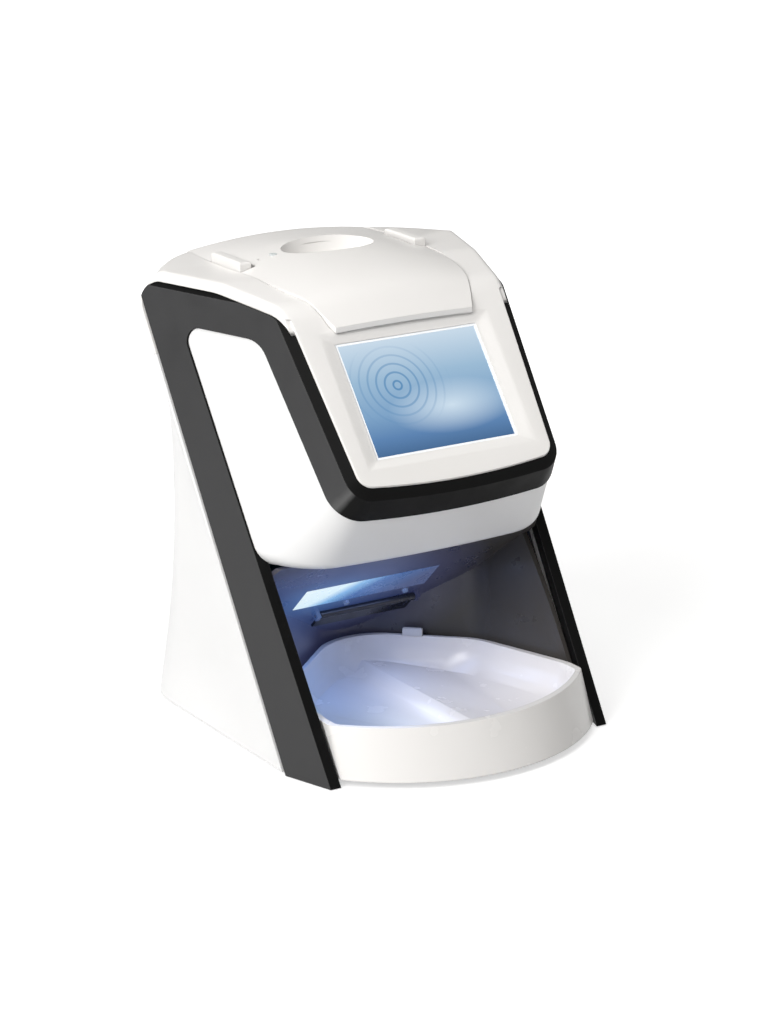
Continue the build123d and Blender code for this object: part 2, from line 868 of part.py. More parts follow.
# Base plate, feet and screws
base_high = base_z + base_thick
toe_y = leg_rear_y(base_z) + base_gap
base_side = tray_half_width - tray_corner_radius
front_plate = Circle(tray_front_radius - base_front_setback)
front_plate = front_plate & Rectangle(base_side * 2, tray_front_radius * 2)
front_plate = extrude(Pos(0, 0, base_z) * front_plate, amount=base_thick)
rear_plate = shell_block(casing_wall + base_gap, cut_over, 0, shoulder_top)
rear_plate = rear_plate & brick((-side_reach, side_reach), (toe_y, space_reach), (base_z, base_high))
base_plate = front_plate + rear_plate
foot_places = []
for x, y in foot_places_share:
    foot_places.append((-x * tray_front_radius, y * tray_front_radius))
    foot_places.append((x * tray_front_radius, y * tray_front_radius))
for x, y in boss_places:
    base_plate = base_plate - Pos(x, y, base_high) * Cylinder(screw_radius + running_gap, base_thick * 4)
screws = []
feet = []
for x, y in boss_places:
    head_low = base_z - screw_head_thick
    shaft = upright(x, y, base_z, base_z + screw_length, screw_radius)
    head = upright(x, y, head_low, base_z, screw_head_radius)
    drive = Pos(x, y, head_low) * Box(screw_head_radius, screw_head_thick / 2, screw_head_thick)
    screws.append(shaft + head - drive)
for x, y in foot_places:
    foot = Cylinder(foot_radius, foot_height, align=(Align.CENTER, Align.CENTER, Align.MIN))
    foot = chamfer(foot.edges().sort_by(Axis.Z)[0], length=foot_height / 4)
    feet.append(Pos(x, y, base_z - foot_height) * foot)
nodes["base_plate"] = base_plate
nodes["casing_screws"] = screws
nodes["rubber_feet"] = feet


def tray_outline(z, inset):
    """The tray from above at one level: round front, straight sides, rounded tapering rear."""
    middle = z * tray_lean
    radius = tray_front_radius - inset
    half = tray_half_width - inset
    side_y = middle - math.sqrt(tray_front_radius ** 2 - tray_half_width ** 2)
    rear = tray_rear_y - inset
    side = (tray_side_x - inset * tray_side_share, tray_side_y)
    turn_y = tray_corner_y
    lines = [
        ThreePointArc((-half, side_y), (0, middle - radius), (half, side_y)),
        Line((half, side_y), (half, turn_y)),
        Line((half, turn_y), side),
        Line(side, (0, rear)),
        Line((0, rear), (-side[0], side[1])),
        Line((-side[0], side[1]), (-half, turn_y)),
        Line((-half, turn_y), (-half, side_y)),
    ]
    flat = make_face(lines)
    rounds = [
        ((half, side_y), tray_corner_radius),
        ((half, turn_y), dish_corner_radius),
        (side, tray_apex_radius),
        ((0, rear), tray_apex_radius),
    ]
    for place, radius in rounds:
        hands = (1, -1) if place[0] > 0 else (1,)
        for hand in hands:
            target = Vector(hand * place[0], place[1])
            corner = flat.vertices().sort_by_distance(target)[0]
            flat = fillet(corner, radius=radius)
    return Pos(0, 0, z) * flat


def tray_ring(low, high, inset_low, inset_high):
    return loft([tray_outline(low, inset_low), tray_outline(high, inset_high)], ruled=True)


# Receiving tray
tray = tray_ring(tray_bottom_z, tray_rim_z, 0, 0)
depth = tray_rim_z - tray_floor_z
levels = []
for down, inward in dish_step_shares:
    inset = tray_rim_width + dish_slope_width * inward
    levels.append(tray_outline(tray_rim_z - depth * down, inset))
dish = loft(levels, ruled=True)
tray = tray - dish
under = tray_ring(tray_bottom_z, tray_floor_z - tray_floor_thick, tray_rim_width, tray_rim_width)
tray = tray - under
ridge_ends = []
for end_x, y in ((ridge_front_x, -tray_front_radius), (ridge_rear_x, tray_front_radius)):
    top = (ridge_top_x, tray_floor_z + ridge_height)
    points = [(ridge_foot_x, tray_floor_z), top, (end_x, tray_floor_z)]
    plane = Plane(origin=(0, y, 0), x_dir=(1, 0, 0), z_dir=(0, -1, 0))
    ridge_ends.append(plane * make_face(Polyline(*points, close=True)))
ridge = loft(ridge_ends, ruled=True)
tray = tray + (ridge & dish)
clear_width = (base_side + base_gap) * 2
clear_front = Circle(tray_front_radius - base_front_setback + base_gap)
clear_front = clear_front & Rectangle(clear_width, tray_front_radius * 2)
clear_high = base_high + tray_seat_gap
clear_room = extrude(clear_front, amount=clear_high)
clear_room = clear_room + brick((-side_reach, side_reach), (toe_y - base_gap, space_reach), (0, clear_high))
tray = tray - clear_room
rim_run = (-tray_side_x, tray_rear_y - tray_side_y)
rim_turn = math.atan2(rim_run[1], rim_run[0])
pull_x = tray_side_x + rim_run[0] * tray_pull_share - math.sin(rim_turn) * tray_rim_width / 2
pull_y = tray_side_y + rim_run[1] * tray_pull_share + math.cos(rim_turn) * tray_rim_width / 2
pull_foot = (Align.CENTER, Align.CENTER, Align.MIN)
pull = Box(tray_pull_length, tray_pull_thick, tray_pull_height, align=pull_foot)
pull = chamfer(pull.edges().group_by(Axis.Z)[-1], length=tray_pull_thick / 4)
nodes["tray_pull"] = Pos(pull_x, pull_y, tray_rim_z) * Rot(0, 0, math.degrees(rim_turn)) * pull
nodes["receiving_tray"] = tray


def bay_outline(z, share, grow):
    """The bay lining from above at one level, from the tray's outline up to the ceiling's."""
    low = [(tray_half_width, tray_corner_y), (tray_side_x, tray_side_y), (0, tray_rear_y)]
    high = [(bay_top_half_width, bay_top_corner_y), (bay_top_side_x, bay_top_side_y), (0, bay_top_rear_y)]
    places = []
    for (x_low, y_low), (x_high, y_high) in zip(low, high):
        x = x_low + (x_high - x_low) * share
        y = y_low + (y_high - y_low) * share
        spread = grow if x > 0 else 0
        rise = grow if x == 0 else grow / 2
        places.append((x + spread, y + rise))
    front = -tray_front_radius - cut_over
    right = [(places[0][0], front)] + places
    left = [(-x, y) for x, y in reversed(right[:-1])]
    flat = make_face(Polyline(*(right + left), close=True))
    radii = (dish_corner_radius, tray_apex_radius, tray_apex_radius)
    for place, radius in zip(places, radii):
        hands = (1, -1) if place[0] > 0 else (1,)
        for hand in hands:
            corner = flat.vertices().sort_by_distance(Vector(hand * place[0], place[1]))[0]
            flat = fillet(corner, radius=radius)
    return Pos(0, 0, z) * flat


def slope_frame(share, out):
    """A plane on the bay's sloping roof, at a share of the way down, raised out into the bay."""
    y = slope_top_y + (slope_foot_y - slope_top_y) * share
    z = ceiling_z + (slope_foot_z - ceiling_z) * share
    rise = slope_foot_y - slope_top_y
    fall = ceiling_z - slope_foot_z
    plane = Plane(origin=(0, y, z), x_dir=(1, 0, 0), z_dir=(0, -fall, -rise))
    return plane.offset(out)


def slope_brick(share, x_range, up_range, out_range):
    """A block laid on the sloping roof."""
    size = [high - low for low, high in (x_range, up_range, out_range)]
    middle = [(high + low) / 2 for low, high in (x_range, up_range, out_range)]
    return slope_frame(share, 0) * Pos(*middle) * Box(*size)


def below_slope(out):
    """Everything on the bay's side of the sloping roof, moved out into the bay."""
    block = Box(space_reach, space_reach, space_reach, align=(Align.CENTER, Align.CENTER, Align.MIN))
    return slope_frame(0, out) * block


# Bay lining
skin_foot = bay_outline(base_high, 0, bay_gap + bay_wall)
skin = loft([skin_foot, bay_outline(ceiling_z, 1, bay_wall)], ruled=True)
hollow = loft([bay_outline(base_high, 0, bay_gap), bay_outline(ceiling_z, 1, 0)], ruled=True)
hollow = hollow & half_space((0, 0, ceiling_z - bay_wall), (0, 0, 1))
lining = (skin & below_slope(0)) - (hollow & below_slope(bay_wall))
turn = math.radians(leg_front_angle)
front_y = leg_front_y(0) + bay_front_setback / math.sin(turn)
lining = lining - half_space((0, front_y, 0), (0, math.sin(turn), -math.cos(turn)))
roof = (skin & below_slope(0)) - below_slope(bay_wall)
lining = lining + (roof & side_wedge(hoop_wall + base_gap))
bar_x = (light_bar_x - light_bar_length / 2, light_bar_x + light_bar_length / 2)
bar_up = (-light_bar_width / 2, light_bar_width / 2)
bar_out = (bay_wall - light_bar_thick, bay_wall)
bar = slope_brick(light_bar_share, bar_x, bar_up, bar_out)
room_x = (bar_x[0] - light_gap, bar_x[1] + light_gap)
room_up = (bar_up[0] - light_gap, bar_up[1] + light_gap)
bar_room = slope_brick(light_bar_share, room_x, room_up, (-light_bar_thick, light_bar_thick * 2))
lining = lining - bar_room
exit_half = exit_length / 2
exit_up = exit_width / 2
exit_hole = slope_brick(exit_share, (-exit_half, exit_half), (-exit_up, exit_up), (-bay_wall, bay_wall * 2))
lining = lining - exit_hole
pin_up = exit_up + flap_knuckle_radius
pin_out = bay_wall + flap_knuckle_radius + flap_gap
lugs = []
for hand in (-1, 1):
    lug_x = sorted((hand * (exit_half + flap_gap), hand * (exit_half + flap_gap + bay_wall)))
    lug_up = span(pin_up, flap_knuckle_radius * 2)
    lug = slope_brick(exit_share, lug_x, lug_up, (0, pin_out + flap_knuckle_radius))
    lugs.append(lug)
pin_plane = slope_frame(exit_share, 0)
pin_middle = pin_plane * Pos(0, pin_up, pin_out)
pin_reach = exit_half + flap_gap + bay_wall
flap_pin = pin_middle * Rot(0, 90, 0) * Cylinder(flap_pin_radius, pin_reach * 2)
for lug in lugs:
    lining = lining + (lug - flap_pin)
knuckle = pin_middle * Rot(0, 90, 0) * Cylinder(flap_knuckle_radius, exit_length)
flap_low = -exit_up - flap_gap
flap = slope_brick(exit_share, (-exit_half, exit_half), (flap_low, pin_up), span(pin_out, flap_thick))
pin_room = pin_middle * Rot(0, 90, 0) * Cylinder(flap_pin_radius + running_gap, pin_reach * 2)
flap = (flap + knuckle) - pin_room
lamps = []
for x in bay_lamp_xs:
    place = slope_frame(bay_lamp_share, 0) * Pos(x, 0, 0)
    lamp = place * Pos(0, 0, bay_wall / 2) * Cylinder(bay_lamp_radius, bay_wall)
    dome_middle = bay_wall + flap_thick / 2
    dome = place * Pos(0, 0, dome_middle) * Cylinder(bay_lamp_radius * lamp_dome_share, flap_thick)
    lamps.append(lamp + dome)
    lining = lining - lamp
strip_out = (bar_out[0] - strip_board_thick, bar_out[0])
strip = slope_brick(light_bar_share, bar_x, bar_up, strip_out)
nodes["bay_lining"] = lining
nodes["light_bar"] = bar
nodes["strip_board"] = strip
nodes["bay_lamps"] = lamps
nodes["exit_flap"] = flap
nodes["flap_pin"] = flap_pin
chute_top = bench_top_z - erase_board_height - bench_thick - chute_gap
upper = slope_frame(chute_start_share, 0).origin
lower = slope_frame(chute_end_share, 0).origin
mouth_front = erase_board_y + erase_board_thick + chute_gap * 2
mouth_rear = rod_y - block_depth / 2 - chute_gap
chute_half = exit_half + chute_wall
chute_points = [
    (mouth_front, chute_top),
    (mouth_rear, chute_top),
    (lower.Y, lower.Z),
    (upper.Y, upper.Z),
]
chute_inner = [
    (mouth_front + chute_wall, chute_top + chute_gap),
    (mouth_rear - chute_wall, chute_top + chute_gap),
    (lower.Y - chute_wall, lower.Z - chute_wall),
    (upper.Y + chute_wall, upper.Z - chute_wall),
]
chute = outline_prism(chute_points, {}, chute_half) - outline_prism(chute_inner, {}, exit_half)
nodes["exit_chute"] = chute - below_slope(0)


def pocket_oval(z, grow):
    """The insertion pocket's oval at one level, grown all round."""
    return Pos(0, pocket_y, z) * Ellipse(pocket_length / 2 + grow, pocket_width / 2 + grow)


# Top cover with its pocket, slot and throat
cover = cover_block(0, -cover_thick, 0)
pocket_top = cover_top(pocket_y)
pocket_floor = pocket_top - pocket_depth
mouth = pocket_oval(pocket_top + cover_thick, pocket_taper / 2)
bottom = pocket_oval(pocket_floor, -pocket_taper)
bowl = loft([mouth, bottom], ruled=True)
cup_mouth = pocket_oval(pocket_top - cover_thick, pocket_wall)
cup_floor = pocket_floor - pocket_wall
cup_bottom = pocket_oval(cup_floor, -pocket_wall)
cover = (cover + loft([cup_mouth, cup_bottom], ruled=True)) - bowl
slot_x = (-slot_length / 2, slot_length / 2)
slot_ys = (slot_y - slot_width / 2, slot_y + slot_width / 2)
throat_x = (slot_x[0] - throat_wall, slot_x[1] + throat_wall)
throat_ys = (slot_ys[0] - throat_wall, slot_ys[1] + throat_wall)
throat_low = pocket_floor - throat_depth
cover = cover + brick(throat_x, throat_ys, (throat_low, cup_floor + pocket_wall / 2))
cover = cover - brick(slot_x, slot_ys, (throat_low - cut_over, pocket_floor + pocket_wall / 2))
lamp_z = cover_top(pocket_y) - cover_crown * (ready_lamp_x / cover_half_width) ** 2
lamp_high = lamp_z + display_rim_proud
ready_lamp = upright(ready_lamp_x, pocket_y, lamp_z - cover_thick, lamp_high, ready_lamp_radius)
cover = cover - ready_lamp
cover = cover - upright(pin_hole_x, pocket_y, pocket_floor, pocket_top + cut_over, pin_hole_radius)
nodes["ready_lamp"] = ready_lamp

# Release tabs at the cover's edges, each on a spring
tab_low = cover_front_z + cover_rise - tab_drop
tab_high = tab_low + tab_height
tab_ys = (tab_y - tab_length / 2, tab_y + tab_length / 2)
stem_ys = (tab_y - tab_stem / 2, tab_y + tab_stem / 2)
tab_out = cover_half_width - cover_gap * 2
tab_in = tab_out - tab_width
post_x = tab_in - tab_travel - tab_spring_room
stem_z = (tab_low - tab_stem, tab_low)
springs = []
for hand, name in ((-1, "left_release_tab"), (1, "right_release_tab")):
    body = brick(sorted((hand * tab_in, hand * tab_out)), tab_ys, (tab_low, tab_high))
    body = fillet(body.edges().group_by(Axis.Z)[-1], radius=tab_rise / 2)
    body = body + brick(sorted((hand * tab_in, hand * (tab_in + tab_rise))), stem_ys, stem_z)
    room = brick(
        sorted((hand * (tab_in - tab_travel - tab_gap), hand * (cover_half_width + cut_over))),
        (tab_ys[0] - tab_gap, tab_ys[1] + tab_gap),
        (tab_low - cut_over, tab_high + cut_over),
    )
    cover = cover - room
    post_outer = post_x + tab_stem / 2
    post_xs = sorted((hand * (post_x - tab_stem / 2), hand * post_outer))
    post = brick(post_xs, stem_ys, (stem_z[0], pocket_top - cover_thick))
    cover = cover + post
    nodes[name] = body
    turns = tab_spring_turns
    pitch = (tab_in - post_outer) / (turns + 1)
    coil = Helix(pitch, pitch * turns, tab_spring_radius)
    wire = sweep(Plane(origin=coil @ 0, z_dir=coil % 0) * Circle(tab_spring_wire / 2), path=coil)
    middle_z = (stem_z[0] + stem_z[1]) / 2
    start = hand * (post_outer + pitch / 2)
    springs.append(Pos(start, tab_y, middle_z) * Rot(0, 90 * hand, 0) * wire)
nodes["tab_springs"] = springs

# Shutter under the throat, on a pin
shutter_y = throat_ys[1] + shutter_knuckle_radius + shutter_clear
shutter_z = throat_low - shutter_clear - shutter_thick / 2
shutter_half = slot_length / 2
plate_ys = (shutter_y - shutter_reach - slot_width / 2, shutter_y)
plate = brick((-shutter_half, shutter_half), plate_ys, span(shutter_z, shutter_thick))
knuckle = lying((-shutter_half, shutter_half), shutter_y, shutter_z, shutter_knuckle_radius)
pin_half = shutter_half + shutter_clear + throat_wall
pin_room = lying((-pin_half, pin_half), shutter_y, shutter_z, shutter_pin_radius + running_gap)
shutter = (plate + knuckle) - pin_room
shutter_pin = lying((-pin_half, pin_half), shutter_y, shutter_z, shutter_pin_radius)
for hand in (-1, 1):
    lug_x = sorted((hand * (shutter_half + shutter_clear), hand * pin_half))
    lug_y = (throat_ys[0], shutter_y + shutter_knuckle_radius)
    lug = brick(lug_x, lug_y, (shutter_z - shutter_knuckle_radius, throat_low + throat_depth / 2))
    cover = cover + (lug - shutter_pin)
nodes["slot_shutter"] = shutter
nodes["shutter_pin"] = shutter_pin
nodes["top_cover"] = cover

# Display behind the face
half = display_width / 2
low = display_foot
high = display_foot + display_height
rim_deep = (display_recess - display_rim_proud, display_recess)
rim_out = display_slab(-running_gap, -running_gap, rim_deep)
rim_in = display_slab(-display_rim, -display_rim, (0, display_recess * 2))
nodes["display_rim"] = rim_out - rim_in
glass_deep = (display_recess, display_recess + glass_thick)
nodes["screen_glass"] = display_slab(glass_lip, glass_lip, glass_deep)
lcd_front = display_recess + glass_thick
lcd_back = lcd_front + lcd_thick
nodes["lcd_module"] = display_slab(glass_lip, glass_lip, (lcd_front, lcd_back))
post_reach = glass_lip + display_post_inset
board_front = lcd_back + display_board_gap
board_back = board_front + display_board_thick
driver_board = display_slab(post_reach + display_post_inset, 0, (board_front, board_back))
posts = []
for x in (-half - post_reach, half + post_reach):
    for up in (low + display_post_inset, high - display_post_inset):
        start = (x, *face_yz(up, bezel_wall))
        end = (x, *face_yz(up, board_front))
        posts.append(rod_between(start, end, display_post_radius))
for x in (-half / 2, half / 3):
    chip_up = (low + chip_side, low + chip_side * 2)
    chip = face_brick(span(x, chip_side), chip_up, (board_back, board_back + chip_thick))
    driver_board = driver_board + chip
nodes["display_board"] = driver_board

# Chassis with its foot, rod blocks and bearings
chassis_ys = (chassis_y, chassis_y + chassis_thick)
chassis = brick((-chassis_half_width, chassis_half_width), chassis_ys, (base_high, chassis_top_z))
foot_ys = (chassis_y - chassis_foot_depth, chassis_y)
foot_zs = (base_high, base_high + chassis_thick)
chassis = chassis + brick((-chassis_half_width, chassis_half_width), foot_ys, foot_zs)
window_x = (panel_x_range[0] - panel_lip * 2, panel_x_range[1] + panel_lip * 2)
window_z = (panel_z_range[0] - panel_lip * 2, panel_z_range[1] + panel_lip * 2)
chassis = chassis - brick(window_x, (chassis_y - chassis_thick, chassis_y + chassis_thick * 2), window_z)
block_ys = (rod_y - block_depth / 2, chassis_y)
blocks = []
bearings = []
for z in (lower_block_z, upper_block_z):
    block = brick((-block_half_width, block_half_width), block_ys, (z, z + block_height))
    for x in (-rod_x, rod_x):
        block = block - upright(x, rod_y, z - cut_over, z + cut_over, rod_radius)
    bearing_low = z + block_height - bearing_height
    block = block - upright(screw_x, rod_y, bearing_low, z + cut_over, bearing_radius)
    block = block - upright(screw_x, rod_y, z - cut_over, z + cut_over, lead_radius + block_clear)
    blocks.append(block)
    ring = upright(screw_x, rod_y, bearing_low, z + block_height, bearing_radius)
    bore = upright(screw_x, rod_y, bearing_low, z + block_height, lead_radius + running_gap)
    bearings.append(ring - bore)
nodes["chassis_plate"] = chassis
nodes["rod_blocks"] = blocks
nodes["screw_bearings"] = bearings
rod_range = (lower_block_z, upper_block_z + block_height)
nodes["guide_rods"] = [upright(x, rod_y, *rod_range, rod_radius) for x in (-rod_x, rod_x)]

# Lead screw, coupling and stepper motor
motor_low = motor_top_z - motor_height
plate_high = motor_top_z + motor_plate_thick
shaft_high = motor_top_z + motor_shaft_length
half_motor = motor_side / 2
motor = brick(span(screw_x, motor_side), span(rod_y, motor_side), (motor_low, motor_top_z))
motor = chamfer(motor.edges().filter_by(Axis.Z), length=motor_plate_thick)
motor = motor + upright(screw_x, rod_y, motor_top_z, plate_high, motor_ring_radius)
shaft = upright(screw_x, rod_y, plate_high, shaft_high, motor_shaft_radius)
motor_bore = motor_shaft_radius + running_gap
motor = motor - upright(screw_x, rod_y, motor_low + motor_plate_thick, shaft_high, motor_bore)
plate_ys = (rod_y - half_motor, chassis_y)
motor_plate = brick(span(screw_x, motor_side), plate_ys, (motor_top_z, plate_high))
motor_plate = motor_plate - upright(screw_x, rod_y, motor_low, shaft_high, motor_ring_radius)
coupling_low = plate_high + coupling_gap
coupling_high = coupling_low + coupling_length
screw_low = coupling_low + coupling_length / 2
screw_rod = upright(screw_x, rod_y, screw_low, upper_block_z + block_height + lead_end, lead_radius)
coupling = upright(screw_x, rod_y, coupling_low, coupling_high, coupling_radius)
coupling = chamfer(coupling.edges().filter_by(GeomType.CIRCLE), length=coupling_gap)
coupling = coupling - upright(screw_x, rod_y, screw_low, coupling_high, lead_radius)
motor_shaft = upright(screw_x, rod_y, motor_low + motor_plate_thick * 2, screw_low, motor_shaft_radius)
coupling = coupling - motor_shaft
nodes["stepper_motor"] = motor
nodes["motor_shaft"] = motor_shaft
nodes["motor_plate"] = motor_plate
nodes["motor_coupling"] = coupling
nodes["lead_screw"] = screw_rod

# Plate carriage with bushes, nut and plate holder
carriage_ys = (rod_y - carriage_depth / 2, rod_y + carriage_depth / 2)
carriage_zs = (carriage_z, carriage_z + carriage_height)
carriage = brick((-carriage_half_width, carriage_half_width), carriage_ys, carriage_zs)
arm_zs = (carriage_z, carriage_z + nut_flange_thick)
arm_xs = (carriage_half_width - cover_gap, screw_x + nut_flange_radius)
carriage = carriage + brick(arm_xs, span(rod_y, nut_flange_radius * 2), arm_zs)
bushes = []
for x in (-rod_x, rod_x):
    carriage = carriage - upright(x, rod_y, carriage_z - cut_over, carriage_z + cut_over * 2, bush_radius)
    bush = upright(x, rod_y, *carriage_zs, bush_radius)
    bushes.append(bush - upright(x, rod_y, *carriage_zs, rod_radius + running_gap))
carriage = carriage - upright(screw_x, rod_y, carriage_z - cut_over, carriage_z + cut_over, nut_radius)
nut = upright(screw_x, rod_y, carriage_z, carriage_z + nut_height, nut_radius)
nut = nut + upright(screw_x, rod_y, arm_zs[1], arm_zs[1] + nut_flange_thick, nut_flange_radius)
nut = nut - upright(screw_x, rod_y, carriage_z, carriage_z + nut_height, lead_radius + running_gap)
nodes["plate_carriage"] = carriage
nodes["carriage_bushes"] = bushes
nodes["screw_nut"] = nut
holder_back = (carriage_ys[0] - holder_thick, carriage_ys[0])
holder_zs = span(carriage_z + carriage_height / 2, holder_height)
holder = brick((-holder_half_width, holder_half_width), holder_back, holder_zs)
for hand in (-1, 1):
    lip_x = sorted((hand * holder_half_width, hand * (holder_half_width - holder_thick)))
    holder = holder + brick(lip_x, (holder_back[0] - holder_lip, holder_back[0]), holder_zs)
    hook_x = sorted((hand * holder_half_width, hand * (holder_half_width - holder_lip)))
    hook_y = (holder_back[0] - holder_lip, holder_back[0] - holder_lip + holder_thick / 2)
    holder = holder + brick(hook_x, hook_y, holder_zs)
nodes["plate_holder"] = holder

# Optical bench on its brackets
bench_zs = (bench_top_z - bench_thick, bench_top_z)
bench = brick((-bench_half_width, bench_half_width), (bench_front_y, bench_rear_y), bench_zs)
bracket_low = lower_block_z + block_height + coupling_gap
bracket_high = carriage_z - carriage_travel - coupling_gap
bracket_in = carriage_half_width + cover_gap * 2
for hand in (-1, 1):
    arm_x = sorted((hand * bracket_in, hand * (bracket_in + bracket_thick)))
    bench = bench + brick(arm_x, (bench_rear_y - bracket_reach, bench_rear_y), (bracket_low, bench_zs[0]))
    bench = bench + brick(arm_x, (bench_rear_y, chassis_y), (bracket_low, bracket_high))
nodes["optical_bench"] = bench

# Spinning mirror
motor_zs = (bench_top_z, bench_top_z + spinner_motor_height)
mirror_low = motor_zs[1] + mirror_lift
spinner_motor = upright(0, spinner_y, *motor_zs, spinner_motor_radius)
spinner_bore = spinner_shaft_radius + running_gap
bore_low = bench_top_z + mirror_lift
spinner_motor = spinner_motor - upright(0, spinner_y, bore_low, motor_zs[1], spinner_bore)
prism_foot = Pos(0, spinner_y, mirror_low) * RegularPolygon(mirror_radius, mirror_sides)
prism = extrude(prism_foot, amount=mirror_height)
nodes["spinner_motor"] = spinner_motor
shaft_low = bench_top_z + mirror_lift * 2
nodes["spinning_mirror"] = prism + upright(0, spinner_y, shaft_low, mirror_low, spinner_shaft_radius)
axis_z = mirror_low + mirror_height / 2

# Laser and its clamp
laser_end = laser_x + laser_length / 2
laser = lying((laser_x - laser_length / 2, laser_end), spinner_y, axis_z, laser_radius)
laser = laser - lying((laser_end - laser_radius / 2, laser_end), spinner_y, axis_z, laser_radius / 2)
clamp_ys = span(spinner_y, laser_clamp_side)
clamp_zs = (bench_top_z, axis_z + laser_clamp_side / 2)
clamp = brick(span(laser_x, laser_clamp_width), clamp_ys, clamp_zs)
nodes["laser_module"] = laser
nodes["laser_clamp"] = clamp - lying(span(laser_x, laser_length * 2), spinner_y, axis_z, laser_radius)

# Scan lens on its foot
half = scan_lens_length / 2
lens_back = scan_lens_thick / 2
lens_flat = make_face([
    Line((-half, -lens_back), (half, -lens_back)),
    Line((half, -lens_back), (half, lens_back)),
    ThreePointArc((half, lens_back), (0, lens_back + scan_lens_bulge), (-half, lens_back)),
    Line((-half, lens_back), (-half, -lens_back)),
])
lens_low = axis_z - scan_lens_height / 2
nodes["scan_lens"] = extrude(Pos(0, scan_lens_y, lens_low) * lens_flat, amount=scan_lens_height)
lens_foot = brick((-half, half), span(scan_lens_y, scan_lens_thick), (bench_top_z, lens_low))

# Light guide, filter and light sensor
guide_half = guide_length / 2
guide_ys = (guide_y - guide_depth / 2, guide_y + guide_depth / 2)
guide_zs = (guide_z - guide_height / 2, guide_z + guide_height / 2)
nodes["light_guide"] = brick((-guide_half, guide_half), guide_ys, guide_zs)
foot_x = (-guide_half, -guide_half + guide_depth)
nodes["optics_feet"] = [lens_foot, brick(foot_x, guide_ys, (bench_top_z, guide_zs[0]))]
sensor_start = guide_half + filter_thick
nodes["sensor_filter"] = lying((guide_half, sensor_start), guide_y, guide_z, filter_radius)
sensor = lying((sensor_start, sensor_start + sensor_length), guide_y, guide_z, sensor_radius)
nodes["light_sensor"] = chamfer(sensor.edges().sort_by(Axis.X)[-1], length=filter_thick / 2)
clamp_x = (bench_half_width - sensor_clamp_width, bench_half_width)
clamp_ys = (bench_rear_y - sensor_clamp_side, bench_rear_y)
sensor_clamp = brick(clamp_x, clamp_ys, (bench_top_z, guide_z))
nodes["sensor_clamp"] = sensor_clamp - lying((0, side_reach), guide_y, guide_z, sensor_radius)

# Erase lamps under the bench
erase_zs = (bench_zs[0] - erase_board_height, bench_zs[0])
erase_rear = erase_board_y + erase_board_thick
erase_board = brick(span(0, erase_board_half_width * 2), (erase_board_y, erase_rear), erase_zs)
nodes["erase_board"] = erase_board
chips = []
for i in range(erase_lamp_count):
    x = erase_board_half_width * ((i + 0.5) / erase_lamp_count * 2 - 1)
    middle = (erase_zs[0] + erase_zs[1]) / 2
    chip_ys = (erase_rear, erase_rear + erase_lamp_thick)
    chips.append(brick(span(x, erase_lamp_side), chip_ys, span(middle, erase_lamp_side)))
nodes["erase_lamps"] = chips

# Main board on standoffs in front of the chassis, beside the stepper motor
board_back = chassis_y - board_gap
board_ys = (board_back - board_thick, board_back)
board_xs = (board_low_x, screw_x - half_motor - board_gap)
main_board = brick(board_xs, board_ys, (board_low_z, board_high_z))
standoffs = list(posts)
for x in (board_xs[0] + standoff_inset, board_xs[1] - standoff_inset):
    for z in (board_low_z + standoff_inset, board_high_z - standoff_inset):
        standoffs.append(rod_between((x, board_back, z), (x, chassis_y, z), standoff_radius))
half_chip = chip_side / 2
for share_x, share_z in chip_places_share:
    x = board_xs[0] + (board_xs[1] - board_xs[0]) * share_x
    z = board_low_z + (board_high_z - board_low_z) * share_z
    chip_ys = (board_ys[0] - chip_thick, board_ys[0])
    main_board = main_board + brick((x - half_chip, x + half_chip), chip_ys, (z - half_chip, z + half_chip))
nodes["main_board"] = main_board
nodes["board_standoffs"] = standoffs

# Socket panel with power inlet, network socket and power rocker
panel_back = panel_y - panel_thick
panel = brick(shroud_x, (panel_back, panel_y), shroud_z)
inlet = facing(inlet_x, (panel_y - inlet_length, panel_y), panel_z, inlet_radius)
inlet_face = facing(inlet_x, (panel_y, panel_y + panel_thick / 2), panel_z, inlet_flange)
inlet_hole = facing(inlet_x, span(panel_y, (inlet_length - panel_thick) * 2), panel_z, inlet_bore)
panel = panel - inlet
socket_half = socket_width / 2
socket_zs = (panel_z - socket_height / 2, panel_z + socket_height / 2)
socket_ys = (panel_y - socket_depth, panel_y + socket_wall / 2)
socket = brick(span(socket_x, socket_width), socket_ys, socket_zs)
panel = panel - socket
socket_hole = brick(
    (socket_x - socket_half + socket_wall, socket_x + socket_half - socket_wall),
    (panel_y - socket_depth + socket_wall, panel_y + socket_wall),
    (socket_zs[0] + socket_wall, socket_zs[1] - socket_wall),
)
frame_half = (rocker_width / 2 + rocker_frame, rocker_height / 2 + rocker_frame)
frame_x = (rocker_x - frame_half[0], rocker_x + frame_half[0])
frame_z = (panel_z - frame_half[1], panel_z + frame_half[1])
opening_x = (rocker_x - rocker_width / 2, rocker_x + rocker_width / 2)
opening_z = (panel_z - rocker_height / 2, panel_z + rocker_height / 2)
cup_x = (opening_x[0] - rocker_frame / 2, opening_x[1] + rocker_frame / 2)
cup_z = (opening_z[0] - rocker_frame / 2, opening_z[1] + rocker_frame / 2)
frame = brick(frame_x, (panel_y, panel_y + rocker_frame / 2), frame_z)
frame = frame + brick(cup_x, (panel_y - rocker_depth, panel_y), cup_z)
cup_ys = (panel_y - rocker_depth + rocker_frame / 2, panel_y + rocker_frame)
frame = frame - brick(opening_x, cup_ys, opening_z)
panel = panel - brick(cup_x, (panel_back, panel_y), cup_z)
pivot_y = panel_y - rocker_proud
rocker_pin = lying(cup_x, pivot_y, panel_z, rocker_pin_radius)
paddle_half = rocker_height / 2 - rocker_gap * 2
tilt = rocker_proud
